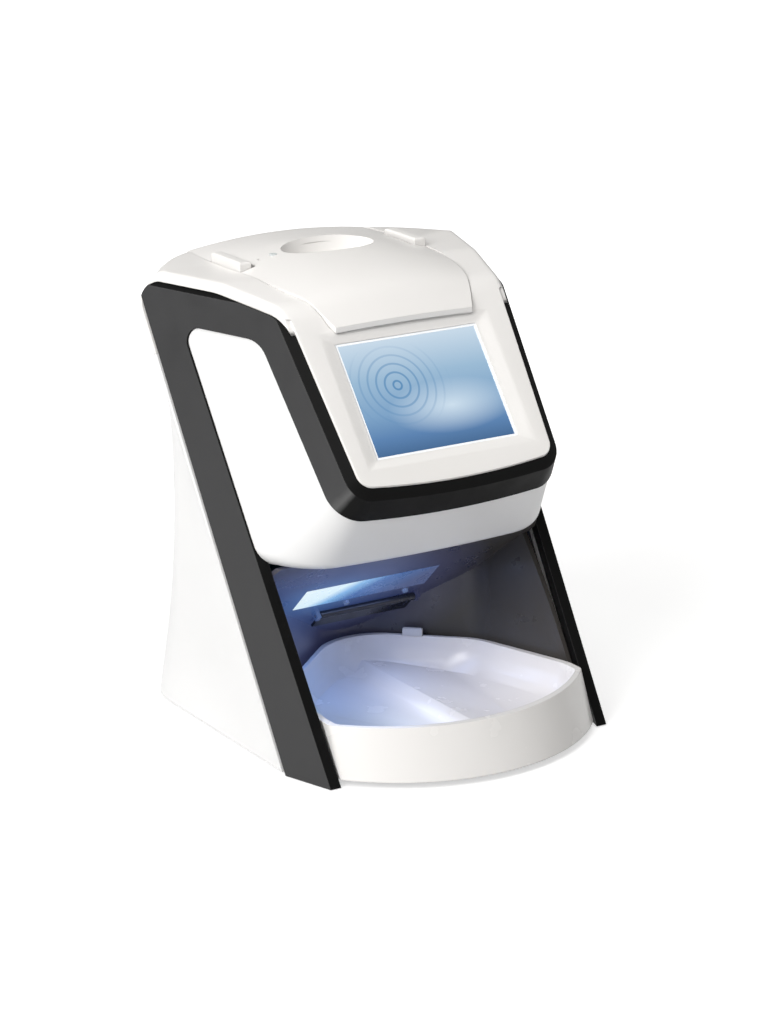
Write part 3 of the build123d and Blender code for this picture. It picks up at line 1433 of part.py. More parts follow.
paddle_points = [
    (pivot_y - rocker_proud, panel_z - paddle_half / 2),
    (pivot_y - rocker_proud, panel_z + paddle_half / 2),
    (panel_y - tilt / 2, panel_z + paddle_half),
    (panel_y + tilt / 4, panel_z + paddle_half),
    (panel_y + tilt / 2, panel_z),
    (panel_y + tilt, panel_z - paddle_half),
    (panel_y - tilt / 2, panel_z - paddle_half),
]
paddle = outline_prism(paddle_points, {}, rocker_width / 2 - rocker_gap)
paddle = Pos(rocker_x, 0, 0) * paddle
paddle = paddle - lying(cup_x, pivot_y, panel_z, rocker_pin_radius + running_gap)
nodes["socket_panel"] = panel
nodes["power_inlet"] = (inlet + inlet_face) - inlet_hole
nodes["network_socket"] = socket - socket_hole
nodes["rocker_frame"] = frame + rocker_pin
nodes["power_rocker"] = paddle

# The origin goes under the middle of the whole, and each part is written to its own file
pieces = {}
for name, shape in nodes.items():
    pieces[name] = shape if isinstance(shape, list) else [shape]
boxes = [piece.bounding_box() for group in pieces.values() for piece in group]
front_edge = min(box.min.Y for box in boxes)
rear_edge = max(box.max.Y for box in boxes)
shift = -(front_edge + rear_edge) / 2
os.makedirs("parts", exist_ok=True)
for name, group in pieces.items():
    moved = [Pos(0, shift, 0) * piece for piece in group]
    whole = moved[0] if len(moved) == 1 else Compound(children=moved)
    export_step(whole, f"parts/{name}.step")
print("depth", rear_edge - front_edge, "moved by", shift)
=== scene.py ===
# %% [markdown]
# # A plate reader with a slanted display, dressed in Blender
# The solid model of this benchtop reader is already built and packed. This lesson loads it, sets up the
# camera and the light, and gives every part a finish made of shader nodes. A few small shapes that the solid
# model leaves out, such as spring contacts, are added by short mesh recipes.

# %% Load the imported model
import json
import math

import bmesh
import bpy
from mathutils import Matrix, Vector

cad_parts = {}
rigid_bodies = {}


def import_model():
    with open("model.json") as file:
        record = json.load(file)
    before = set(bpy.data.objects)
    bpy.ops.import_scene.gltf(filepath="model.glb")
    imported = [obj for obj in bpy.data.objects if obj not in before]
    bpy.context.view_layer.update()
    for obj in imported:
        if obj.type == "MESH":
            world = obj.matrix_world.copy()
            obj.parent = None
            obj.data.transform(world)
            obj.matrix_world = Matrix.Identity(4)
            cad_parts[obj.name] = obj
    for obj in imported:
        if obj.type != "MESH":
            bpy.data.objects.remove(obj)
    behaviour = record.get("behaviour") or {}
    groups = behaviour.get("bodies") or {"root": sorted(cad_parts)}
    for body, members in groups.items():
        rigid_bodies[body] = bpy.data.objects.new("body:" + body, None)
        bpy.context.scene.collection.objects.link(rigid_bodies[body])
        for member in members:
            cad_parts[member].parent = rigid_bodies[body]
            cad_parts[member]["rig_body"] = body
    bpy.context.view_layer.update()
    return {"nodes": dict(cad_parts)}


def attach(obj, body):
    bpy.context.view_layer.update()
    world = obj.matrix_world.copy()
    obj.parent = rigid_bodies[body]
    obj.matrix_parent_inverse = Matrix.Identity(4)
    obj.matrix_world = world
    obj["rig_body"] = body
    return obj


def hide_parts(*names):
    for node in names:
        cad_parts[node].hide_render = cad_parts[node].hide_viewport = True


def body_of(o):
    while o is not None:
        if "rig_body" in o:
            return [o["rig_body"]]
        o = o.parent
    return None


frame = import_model()
nodes = frame["nodes"]
scene = bpy.context.scene

# %% [markdown]
# ## The camera comes first
# Everything is judged through the camera, so it is placed before any material. The viewpoint was found by
# fitting the photograph's perspective: the camera stands to the left of the reader, a little above it,
# and looks at a point about half way up. A long lens keeps the sides nearly parallel, as in the photograph.

# %% Place the camera
MM = 0.001
DRAWN_SHIFT = -15.2566 * MM
turn_left = math.radians(-32.6)
rise = math.radians(17.1)
distance = 1.8
target = Vector((0, DRAWN_SHIFT, 0.130))
level = math.cos(rise)
backwards = Vector((math.sin(turn_left) * level, -math.cos(turn_left) * level, math.sin(rise)))

lens = bpy.data.cameras.new("photo_camera")
lens.sensor_width = 36
lens.lens = 115.66
lens.shift_x = -0.0162
lens.shift_y = -0.0167
lens.clip_end = 20
camera = bpy.data.objects.new("photo_camera", lens)
camera.location = target + backwards * distance
camera.rotation_euler = (-backwards).to_track_quat("-Z", "Y").to_euler()
scene.collection.objects.link(camera)
scene.camera = camera
print("camera at", [round(v, 3) for v in camera.location])

# %% [markdown]
# ## Short names for common shader nodes
# A node tree in Python soon fills with lines that only make a node and wire it. A few helpers keep the
# finishes readable. `feed` takes a plain value or another node's output, so one helper serves both.

# %% Helpers that make and wire nodes


def shader_tree(name):
    """A new material with an empty node tree, and its output node."""
    material = bpy.data.materials.new(name)
    material.use_nodes = True
    tree = material.node_tree
    tree.nodes.clear()
    return material, tree, tree.nodes.new("ShaderNodeOutputMaterial")


def feed(tree, socket, value):
    """Wires another node's output to a socket, or sets a plain value on it."""
    if isinstance(value, bpy.types.NodeSocket):
        tree.links.new(value, socket)
    else:
        socket.default_value = value


def sums(tree, operation, *values):
    """A Math node."""
    node = tree.nodes.new("ShaderNodeMath")
    node.operation = operation
    for socket, value in zip(node.inputs, values):
        feed(tree, socket, value)
    return node.outputs["Value"]


def spread(tree, source, low, high, start=0.3, end=0.7):
    """Maps the stretch from start to end onto low to high, and holds the ends."""
    node = tree.nodes.new("ShaderNodeMapRange")
    node.inputs["From Min"].default_value = start
    node.inputs["From Max"].default_value = end
    node.inputs["To Min"].default_value = low
    node.inputs["To Max"].default_value = high
    tree.links.new(source, node.inputs["Value"])
    return node.outputs["Result"]


def object_place(tree):
    return tree.nodes.new("ShaderNodeTexCoord").outputs["Object"]


def axes(tree, vector):
    """A vector's three parts, as a node whose outputs are X, Y and Z."""
    node = tree.nodes.new("ShaderNodeSeparateXYZ")
    tree.links.new(vector, node.inputs["Vector"])
    return node.outputs


def length_of(tree, vector):
    node = tree.nodes.new("ShaderNodeVectorMath")
    node.operation = "LENGTH"
    tree.links.new(vector, node.inputs[0])
    return node.outputs["Value"]


print("node helpers ready")

# %% [markdown]
# ## A plain white studio
# Product photographs of white plastic are lit by large soft lamps, so that edges stay readable and nothing
# burns out. The floor is a plain sheet. To the camera it shows white wherever no shadow falls, which is
# done with the Light Path node, so that no extra light reaches the object. That extra white is held back
# close to the object, where the soft shadow lies.

# %% The floor
scene.view_settings.view_transform = "Standard"
FLOOR_SIZE = 6
FLOOR_GREY = 0.62
SHADOW_REACH = (0.25, 1.1)
EXTRA_WHITE = (0.58, 1.0)


def seen_directly(tree):
    """One for rays that come straight from the camera, off a mirror or through glass, else nought."""
    rays = tree.nodes.new("ShaderNodeLightPath").outputs
    either = sums(tree, "MAXIMUM", rays["Is Camera Ray"], rays["Is Glossy Ray"])
    return sums(tree, "MAXIMUM", either, rays["Is Transmission Ray"])


def make_floor():
    """A large sheet that looks white to the camera and still takes the object's soft shadow."""
    bm = bmesh.new()
    bmesh.ops.create_grid(bm, x_segments=1, y_segments=1, size=FLOOR_SIZE)
    mesh = bpy.data.meshes.new("floor_sheet")
    bm.to_mesh(mesh)
    bm.free()
    floor = bpy.data.objects.new("floor_sheet", mesh)
    scene.collection.objects.link(floor)
    material, tree, output = shader_tree("floor_white")
    sheet = tree.nodes.new("ShaderNodeBsdfDiffuse")
    sheet.inputs["Color"].default_value = (FLOOR_GREY, FLOOR_GREY, FLOOR_GREY, 1)
    lift = tree.nodes.new("ShaderNodeEmission")
    away = length_of(tree, object_place(tree))
    tree.links.new(spread(tree, away, *EXTRA_WHITE, *SHADOW_REACH), lift.inputs["Strength"])
    both = tree.nodes.new("ShaderNodeAddShader")
    tree.links.new(sheet.outputs["BSDF"], both.inputs[0])
    tree.links.new(lift.outputs["Emission"], both.inputs[1])
    choice = tree.nodes.new("ShaderNodeMixShader")
    tree.links.new(seen_directly(tree), choice.inputs["Fac"])
    tree.links.new(sheet.outputs["BSDF"], choice.inputs[1])
    tree.links.new(both.outputs["Shader"], choice.inputs[2])
    tree.links.new(choice.outputs["Shader"], output.inputs["Surface"])
    mesh.materials.append(material)


make_floor()
print("floor sheet:", 2 * FLOOR_SIZE, "m across")

# %% [markdown]
# ## Three soft lamps and a dim world
# The main lamp stands far to the left, so the left side is the brightest, as in the photograph. Two weaker
# lamps from above keep the slanted face and the top readable. The world is dim for the light it gives and
# white only where the camera looks straight at it.

# %% The lamps
LAMP_AIM = Vector((0, 0, 0.13))


def soft_lamp(name, place, size, power, colour):
    """A square area lamp that looks at the middle of the object."""
    data = bpy.data.lights.new(name, "AREA")
    data.shape = "SQUARE"
    data.size = size
    data.energy = power
    data.color = colour
    lamp = bpy.data.objects.new(name, data)
    lamp.location = place
    lamp.rotation_euler = (LAMP_AIM - Vector(place)).to_track_quat("-Z", "Y").to_euler()
    scene.collection.objects.link(lamp)


soft_lamp("left_lamp", (-1.80, -0.66, 1.22), 1.2, 42, (1, 0.995, 0.985))
soft_lamp("front_lamp", (-0.45, -0.85, 2.35), 1.2, 18, (1, 0.985, 0.96))
soft_lamp("top_lamp", (-0.2, 0.5, 2.1), 1.4, 8, (1, 0.995, 0.98))

# %% The world
WORLD_LIGHT = 0.30
world = bpy.data.worlds.new("studio_air")
scene.world = world
world.use_nodes = True
air = world.node_tree
air.nodes.clear()
air_output = air.nodes.new("ShaderNodeOutputWorld")
dim = air.nodes.new("ShaderNodeBackground")
dim.inputs["Strength"].default_value = WORLD_LIGHT
white = air.nodes.new("ShaderNodeBackground")
white.inputs["Color"].default_value = (1, 1, 1, 1)
white.inputs["Strength"].default_value = 1.0
choice = air.nodes.new("ShaderNodeMixShader")
direct = air.nodes.new("ShaderNodeLightPath")
air.links.new(direct.outputs["Is Camera Ray"], choice.inputs["Fac"])
air.links.new(dim.outputs["Background"], choice.inputs[1])
air.links.new(white.outputs["Background"], choice.inputs[2])
air.links.new(choice.outputs["Shader"], air_output.inputs["Surface"])
print("world light:", WORLD_LIGHT)

# %% [markdown]
# ## Patterns for the finishes
# Every finish here is built from noise, colour ramps and bumps. The noise reads Object coordinates, so a
# pattern keeps its real size and stays with its part when the part moves. A Mapping node of the Texture kind
# centres, turns or stretches a pattern, as if the pattern itself were moved.

# %% Helpers for patterns


def noise(tree, scale, detail=4, stretch=None):
    """A noise texture on the object's own coordinates, stretched where three scales are given."""
    place = object_place(tree)
    if stretch:
        mapping = tree.nodes.new("ShaderNodeMapping")
        mapping.inputs["Scale"].default_value = stretch
        tree.links.new(place, mapping.inputs["Vector"])
        place = mapping.outputs["Vector"]
    texture = tree.nodes.new("ShaderNodeTexNoise")
    texture.inputs["Scale"].default_value = scale
    texture.inputs["Detail"].default_value = detail
    tree.links.new(place, texture.inputs["Vector"])
    return texture.outputs["Fac"]


def pattern_place(tree, vector, middle=(0, 0, 0), turn=(0, 0, 0), size=(1, 1, 1)):
    """Coordinates for a pattern that has its own middle, turn and size."""
    mapping = tree.nodes.new("ShaderNodeMapping")
    mapping.vector_type = "TEXTURE"
    mapping.inputs["Location"].default_value = middle
    mapping.inputs["Rotation"].default_value = turn
    mapping.inputs["Scale"].default_value = size
    tree.links.new(vector, mapping.inputs["Vector"])
    return mapping.outputs["Vector"]


def soft_ball(tree, vector):
    """One in the middle of a pattern, fading to nought a unit away."""
    ball = tree.nodes.new("ShaderNodeTexGradient")
    ball.gradient_type = "SPHERICAL"
    tree.links.new(vector, ball.inputs["Vector"])
    return ball.outputs["Fac"]


def ramp(tree, source, stops):
    """A colour ramp from a list of positions and colours."""
    node = tree.nodes.new("ShaderNodeValToRGB")
    band = node.color_ramp
    while len(band.elements) < len(stops):
        band.elements.new(0.5)
    for element, (position, colour) in zip(band.elements, stops):
        element.position = position
        element.color = (*colour, 1)
    tree.links.new(source, node.inputs["Fac"])
    return node.outputs["Color"]


def colour_mix(tree, factor, under, over):
    """Lays one colour over another by a factor."""
    node = tree.nodes.new("ShaderNodeMix")
    node.data_type = "RGBA"
    for name, value in (("Factor", factor), ("A", under), ("B", over)):
        feed(tree, node.inputs[name], value)
    return node.outputs["Result"]


def bump(tree, shader, height, strength, depth):
    """Feeds a height into a shader's normal."""
    node = tree.nodes.new("ShaderNodeBump")
    node.inputs["Strength"].default_value = strength
    node.inputs["Distance"].default_value = depth
    tree.links.new(height, node.inputs["Height"])
    tree.links.new(node.outputs["Normal"], shader.inputs["Normal"])
    return node


def rounded_normal(tree, radius):
    """The surface's direction, as if its edges were rounded off."""
    eased = tree.nodes.new("ShaderNodeBevel")
    eased.samples = 4
    eased.inputs["Radius"].default_value = radius
    return eased.outputs["Normal"]


print("pattern helpers ready")

# %% [markdown]
# ## A kit for moulded plastic and for metal
# Injection-moulded covers look alive because the gloss is never quite even: a fine spark texture from the
# mould breaks up the highlight, the colour drifts a little and handling wears the gloss. One helper builds
# that from three noise textures, and every plastic part then only states its colour, gloss and grain. Metal
# has a helper of its own, where stretched noise gives a drawn or ground grain.

# %% Helpers for plastic and metal
PLASTIC_GRAIN_DEPTH = 0.1 * MM
METAL_GRAIN_DEPTH = 0.2 * MM
DRIFT_SCALE = 9
WEAR_SCALE = 60
METAL_SHADE_SCALE = 40


def shader_of(material):
    """A material's tree and its main shader."""
    tree = material.node_tree
    return tree, next(node for node in tree.nodes if node.type == "BSDF_PRINCIPLED")


def plastic(name, low, high, rough, grain=1500, strength=0.12, coat=0.0, soft_edge=0.0):
    """Moulded plastic: a slow drift between two colours, uneven gloss and a fine spark texture."""
    material, tree, output = shader_tree(name)
    shader = tree.nodes.new("ShaderNodeBsdfPrincipled")
    shader.inputs["Coat Weight"].default_value = coat
    shader.inputs["Coat Roughness"].default_value = 0.12
    drift = ramp(tree, noise(tree, DRIFT_SCALE, 2), [(0.35, low), (0.65, high)])
    tree.links.new(drift, shader.inputs["Base Color"])
    wear = spread(tree, noise(tree, WEAR_SCALE, 5), rough * 0.85, rough * 1.2)
    tree.links.new(wear, shader.inputs["Roughness"])
    spark = bump(tree, shader, noise(tree, grain, 2), strength, PLASTIC_GRAIN_DEPTH)
    if soft_edge:
        tree.links.new(rounded_normal(tree, soft_edge), spark.inputs["Normal"])
    tree.links.new(shader.outputs["BSDF"], output.inputs["Surface"])
    return material


def metal(name, low, high, rough, stretch=None, strength=0.1, grain=900):
    """Metal with brushed, ground or cast grain, by how its noise is stretched."""
    material, tree, output = shader_tree(name)
    shader = tree.nodes.new("ShaderNodeBsdfPrincipled")
    shader.inputs["Metallic"].default_value = 1.0
    shade = ramp(tree, noise(tree, METAL_SHADE_SCALE, 3, stretch), [(0.3, low), (0.7, high)])
    tree.links.new(shade, shader.inputs["Base Color"])
    polish = spread(tree, noise(tree, grain, 3, stretch), rough * 0.75, rough * 1.3)
    tree.links.new(polish, shader.inputs["Roughness"])
    bump(tree, shader, noise(tree, grain, 2, stretch), strength, METAL_GRAIN_DEPTH)
    tree.links.new(shader.outputs["BSDF"], output.inputs["Surface"])
    return material


def glow_from(material, colour, strength):
    """Gives a finish a faint light of its own, in a plain colour or from another node."""
    tree, shader = shader_of(material)
    feed(tree, shader.inputs["Emission Color"], colour)
    shader.inputs["Emission Strength"].default_value = strength


def dress(material, *names):
    """Puts a material on CAD nodes."""
    for name in names:
        mesh = nodes[name].data
        mesh.materials.clear()
        mesh.materials.append(material)
    print(material.name, "on", ", ".join(names))


# %% [markdown]
# ## White housings and the dark hoop
# The housings are a warm off-white with a satin skin. The hoop is one dark moulding, finely textured so
# that it shows as charcoal, never as a mirror. Grain size matters: seen from arm's length the spark texture
# only softens the highlight, and it shows as texture close up.

# %% Dress the housings
EDGE = 0.7 * MM
white_shell = plastic(
    "warm_white_housing", (0.80, 0.785, 0.765), (0.825, 0.81, 0.795), 0.34, strength=0.02, soft_edge=EDGE
)
cool_shell = plastic(
    "clean_white_panel", (0.79, 0.79, 0.79), (0.82, 0.82, 0.82), 0.36, strength=0.02, soft_edge=EDGE
)
dress(white_shell, "top_housing", "top_cover", "left_release_tab", "right_release_tab")
dress(cool_shell, "chin_shell", "rear_shell")

# %% [markdown]
# ## Where the hoop turns away
# The hoop's flat sides are charcoal. Its bevels and the band under the display get a painted shade in near
# black, and a painted highlight runs as a lighter line between. All three follow the direction that the
# surface faces. The left and right sides mirror each other, so the direction's X is made positive first, and
# is then compared with the flat side's own.

# %% Dress the hoop
FLAT_SIDE = (0.936, -0.303, 0.170)


def hoop_painted_shade():
    """Charcoal on the flat sides, painted shade in near black on bevels and the band, and a painted highlight
    line between them.
    """
    material = plastic(
        "charcoal_hoop_painted_shade", (0.017, 0.017, 0.018), (0.022, 0.022, 0.023), 0.42, strength=0.2
    )
    tree, shader = shader_of(material)
    faces = axes(tree, rounded_normal(tree, EDGE))
    folded = tree.nodes.new("ShaderNodeCombineXYZ")
    tree.links.new(sums(tree, "ABSOLUTE", faces["X"]), folded.inputs["X"])
    tree.links.new(faces["Y"], folded.inputs["Y"])
    tree.links.new(faces["Z"], folded.inputs["Z"])
    compare = tree.nodes.new("ShaderNodeVectorMath")
    compare.operation = "DOT_PRODUCT"
    compare.inputs[1].default_value = FLAT_SIDE
    tree.links.new(folded.outputs["Vector"], compare.inputs[0])
    facing_out = compare.outputs["Value"]
    # Painted shade in near black on bevels and the band, a painted highlight as the lighter line, charcoal on
    # the flat sides.
    stops = [
        (0.0, (0.006, 0.006, 0.006)),
        (0.80, (0.007, 0.007, 0.007)),
        (0.90, (0.075, 0.075, 0.076)),
        (0.975, (0.022, 0.022, 0.023)),
    ]
    tree.links.new(ramp(tree, facing_out, stops), shader.inputs["Base Color"])
    gloss = spread(tree, facing_out, 0.06, 0.5, 0.80, 0.93)
    tree.links.new(gloss, shader.inputs["Specular IOR Level"])
    return material


dress(hoop_painted_shade(), "hoop")

# %% [markdown]
# ## The display
# The picture on the display is drawn by shader nodes: a sky-to-deep-blue wash, a soft pool of light low
# down and a few rings, like drops on water. The coordinates are turned into the display's own plane, which
# undoes its place and tilt. The picture is the finish's own light, and its gloss stands for the glass.

# %% Dress the display
FACE_TILT = math.radians(51.64)
SCREEN_MIDDLE = Vector((0, -41.10 * MM, 194.88 * MM))
SCREEN_HALF_HEIGHT = 34 * MM
POOL_LIGHT = (0.78, 0.90, 0.97, 1)
RING_BLUE = (0.08, 0.24, 0.46, 1)
SKY = [
    (0.0, (0.04, 0.115, 0.25)),
    (0.16, (0.09, 0.21, 0.42)),
    (0.36, (0.20, 0.36, 0.56)),
    (0.66, (0.33, 0.50, 0.66)),
    (1.0, (0.62, 0.74, 0.84)),
]


def ring_lines(tree, flat):
    """Thin rings round a point, faded out with distance."""
    middle = pattern_place(tree, flat, middle=(-0.016, 0.006, 0))
    rings = tree.nodes.new("ShaderNodeTexWave")
    rings.wave_type = "RINGS"
    rings.rings_direction = "Z"
    rings.inputs["Scale"].default_value = 62
    tree.links.new(middle, rings.inputs["Vector"])
    fade = soft_ball(tree, pattern_place(tree, middle, size=(0.034, 0.026, 1)))
    return sums(tree, "MULTIPLY", spread(tree, rings.outputs["Fac"], 0, 1, 0.80, 0.96), fade)


def display_picture():
    material, tree, output = shader_tree("display_picture")
    flat = pattern_place(tree, object_place(tree), middle=SCREEN_MIDDLE, turn=(FACE_TILT, 0, 0))
    up = spread(tree, axes(tree, flat)["Y"], 0, 1, -SCREEN_HALF_HEIGHT, SCREEN_HALF_HEIGHT)
    pool = pattern_place(tree, flat, middle=(0.012, -0.010, 0), size=(0.040, 0.016, 1))
    glow = spread(tree, soft_ball(tree, pool), 0, 0.75, 0, 1)
    lit = colour_mix(tree, glow, ramp(tree, up, SKY), POOL_LIGHT)
    picture = colour_mix(tree, ring_lines(tree, flat), lit, RING_BLUE)
    shader = tree.nodes.new("ShaderNodeBsdfPrincipled")
    shader.inputs["Base Color"].default_value = (0.02, 0.03, 0.05, 1)
    shader.inputs["Specular IOR Level"].default_value = 0.35
    tree.links.new(spread(tree, noise(tree, 70, 4), 0.10, 0.18), shader.inputs["Roughness"])
    tree.links.new(shader.outputs["BSDF"], output.inputs["Surface"])
    glow_from(material, picture, 0.92)
    return material


dress(display_picture(), "screen_glass")

# %% [markdown]
# ## The display's rim
# A thin pale rim runs round the display. It is bright plastic with a painted glow: a faint bluish emission
# that stands for the display's light falling on it.

# %% Dress the rim
rim_skin_painted_glow = plastic("bright_rim_painted_glow", (0.86, 0.88, 0.90), (0.90, 0.92, 0.94), 0.25, strength=0.03)
# Painted glow: a faint bluish emission on the rim, standing for the display's light.
glow_from(rim_skin_painted_glow, (0.85, 0.92, 1, 1), 0.12)
dress(rim_skin_painted_glow, "display_rim")

# %% [markdown]
# ## The lit bay
# The bay's lining is a dark gloss moulding. A light bar in its sloping roof throws violet-blue light over
# the left half. The glow belongs to the lining's finish, as a faint emission that fades across the bay, so
# it stays in the exported model, and a small lamp inside lights the tray.

# %% Dress the bay's lining and flap
BAY_GLOW = [
    (0.0, (0, 0, 0)),
    (0.3, (0.014, 0.018, 0.055)),
    (0.65, (0.028, 0.052, 0.155)),
    (1.0, (0.05, 0.14, 0.36)),
]


def bay_skin_painted_light():
    material = plastic("bay_gloss", (0.050, 0.046, 0.043), (0.060, 0.055, 0.051), 0.30, strength=0.01)
    tree, _ = shader_of(material)
    spot = pattern_place(
        tree, object_place(tree), middle=(-0.034, 0.012, 0.074), size=(0.105, 0.085, 0.062)
    )
    # Painted light: the bar's violet-blue light, painted as a faint emission over the lining's left half.
    glow_from(material, ramp(tree, soft_ball(tree, spot), BAY_GLOW), 1.0)
    return material


dress(bay_skin_painted_light(), "bay_lining")
dress(plastic("flap_gloss", (0.012, 0.014, 0.022), (0.018, 0.020, 0.030), 0.28, strength=0.02), "exit_flap")

# %% [markdown]
# ## The light bar and the small lamps
# The bar in the bay's roof is white-hot at its left end and dark blue at its right. A colour ramp along X
# does that, and part of Z is added to lean the border between bright and dark. The bay's lamps glow only
# faintly, and the frosted lenses not at all.

# %% Dress the light bar and the lamps
BAR_ENDS = (-0.172, -0.078)
BAR_LEAN = -1.5
BAR_COLOURS = [
    (0.0, (0.75, 0.86, 0.88)),
    (0.34, (0.66, 0.82, 0.88)),
    (0.46, (0.20, 0.42, 0.70)),
    (0.62, (0.05, 0.13, 0.34)),
    (1.0, (0.06, 0.08, 0.17)),
]


def light_bar_skin():
    material, tree, output = shader_tree("light_bar_glow")
    place = axes(tree, object_place(tree))
    slanted = sums(tree, "MULTIPLY_ADD", place["Z"], BAR_LEAN, place["X"])
    along = spread(tree, slanted, 0, 1, *BAR_ENDS)
    shader = tree.nodes.new("ShaderNodeBsdfPrincipled")
    shader.inputs["Base Color"].default_value = (0.05, 0.06, 0.10, 1)
    tree.links.new(spread(tree, noise(tree, 120, 3), 0.2, 0.35), shader.inputs["Roughness"])
    tree.links.new(shader.outputs["BSDF"], output.inputs["Surface"])
    glow_from(material, ramp(tree, along, BAR_COLOURS), 1.0)
    return material


dress(light_bar_skin(), "light_bar")
lamp_skin = plastic("clear_lamp", (0.10, 0.13, 0.22), (0.14, 0.17, 0.26), 0.12, strength=0.01)
glow_from(lamp_skin, (0.25, 0.38, 0.7, 1), 0.22)
dress(lamp_skin, "bay_lamps")
frosted_lens = plastic("frosted_lens", (0.62, 0.66, 0.66), (0.68, 0.72, 0.72), 0.3, strength=0.05)
dress(frosted_lens, "erase_lamps", "ready_lamp")

# %% [markdown]
# ## The receiving tray
# The tray is milky plastic, and the bay's blue light lies in its dish. A lamp alone would lose that in the
# exported model, so the blue is also painted into the colour as painted light, and the dish's right end is
# painted darker than the milk as painted shade. Three masks keep it inside the dish: how far a point is from
# the dish's middle, how far it is to the side, and whether the surface faces upwards at all.

# %% Dress the tray
DISH_EDGE = (0.1040, 0.1055)
DISH_SIDE = (0.0765, 0.0780)
DISH_LEAN = -math.tan(math.radians(24))
DISH_FACES_UP = (0.08, 0.2)
DISH_WIDTH = (-0.080, 0.080)
# Painted blue light at the dish's left end, painted shade darker than the milk at its right end.
DISH_PAINTED_LIGHT_AND_SHADE = [
    (0.0, (0.46, 0.62, 0.84)),
    (0.25, (0.62, 0.71, 0.84)),
    (0.5, (0.82, 0.81, 0.82)),
    (0.72, (0.76, 0.74, 0.75)),
    (1.0, (0.70, 0.68, 0.68)),
]


def inside_dish(tree, place):
    """One on the dish's own surface, nought on the tray's rim, skirt and outer walls."""
    flat = tree.nodes.new("ShaderNodeCombineXYZ")
    tree.links.new(place["X"], flat.inputs["X"])
    leaned = sums(tree, "MULTIPLY_ADD", place["Z"], DISH_LEAN, place["Y"])
    tree.links.new(leaned, flat.inputs["Y"])
    within = spread(tree, length_of(tree, flat.outputs["Vector"]), 1, 0, *DISH_EDGE)
    between = spread(tree, sums(tree, "ABSOLUTE", place["X"]), 1, 0, *DISH_SIDE)
    facing = axes(tree, tree.nodes.new("ShaderNodeNewGeometry").outputs["Normal"])
    upwards = spread(tree, facing["Z"], 0, 1, *DISH_FACES_UP)
    return sums(tree, "MULTIPLY", sums(tree, "MULTIPLY", within, between), upwards)


def tray_skin():
    """Milky white, with the lamp's blue painted into the dish as painted light, strong at the left, and a
    painted shade darker than the milk at the right.
    """
    material = plastic(
        "milky_tray", (0.78, 0.765, 0.75), (0.81, 0.795, 0.78), 0.24, strength=0.01, soft_edge=EDGE
    )
    tree, shader = shader_of(material)
    place = axes(tree, pattern_place(tree, object_place(tree), middle=(0, DRAWN_SHIFT, 0)))
    # Painted light and shade: the bay's blue painted in at the left, a painted shade at the right.
    painted_light_and_shade = ramp(tree, spread(tree, place["X"], 0, 1, *DISH_WIDTH), DISH_PAINTED_LIGHT_AND_SHADE)
    milk = shader.inputs["Base Color"].links[0].from_socket
    tree.links.new(colour_mix(tree, inside_dish(tree, place), milk, painted_light_and_shade), shader.inputs["Base Color"])
    return material


dress(tray_skin(), "receiving_tray")

# %% [markdown]
# ## A lamp inside the bay
# A small rectangular lamp under the light bar gives the tray its real light and soft shadows. It is weak,
# because the blue light painted into the tray's colour does most of the work.

# %% Hang the bay's lamp
inside = bpy.data.lights.new("bay_lamp", "AREA")
inside.shape = "RECTANGLE"
inside.size = 0.08
inside.size_y = 0.015
inside.energy = 0.022
inside.color = (0.42, 0.55, 1.0)
inside_lamp = bpy.data.objects.new("bay_lamp", inside)
inside_lamp.location = (-0.015, 0.000, 0.073)
inside_lamp.rotation_euler = (math.radians(-20), 0, 0)
scene.collection.objects.link(inside_lamp)
print("bay lamp:", inside.energy, "W")

# %% [markdown]
# ## Hidden works and sockets
# The parts inside are seen only with the cover off or the tray out, but each still gets its own finish:
# zinc-plated sheet, ground rods, cast alloy and green circuit board under a clear lacquer. A list pairs
# each finish with its parts, so that none is forgotten.

# %% Dress the metal works
ground_steel = metal("ground_steel", (0.60, 0.60, 0.62), (0.72, 0.72, 0.74), 0.18, (1, 1, 18))
METAL_WORKS = [
    (
        metal("zinc_sheet", (0.50, 0.51, 0.52), (0.62, 0.63, 0.64), 0.38),
        "chassis_plate motor_plate optical_bench lcd_module network_socket",
    ),
    (
        ground_steel,
        "guide_rods screw_bearings lead_screw motor_shaft casing_screws flap_pin shutter_pin tab_springs",
    ),
    (
        metal("cast_alloy", (0.60, 0.61, 0.62), (0.70, 0.71, 0.72), 0.42, None, 0.25, 1500),
        "rod_blocks motor_coupling plate_carriage laser_clamp optics_feet sensor_clamp",
    ),
    (
        metal("turned_brass", (0.62, 0.45, 0.20), (0.74, 0.56, 0.28), 0.25, (1, 1, 14)),
        "carriage_bushes laser_module board_standoffs",
    ),
    (
        metal("polished_mirror", (0.86, 0.87, 0.88), (0.90, 0.91, 0.92), 0.05, None, 0.01),
        "spinning_mirror",
    ),
]
for finish, parts in METAL_WORKS:
    dress(finish, *parts.split())

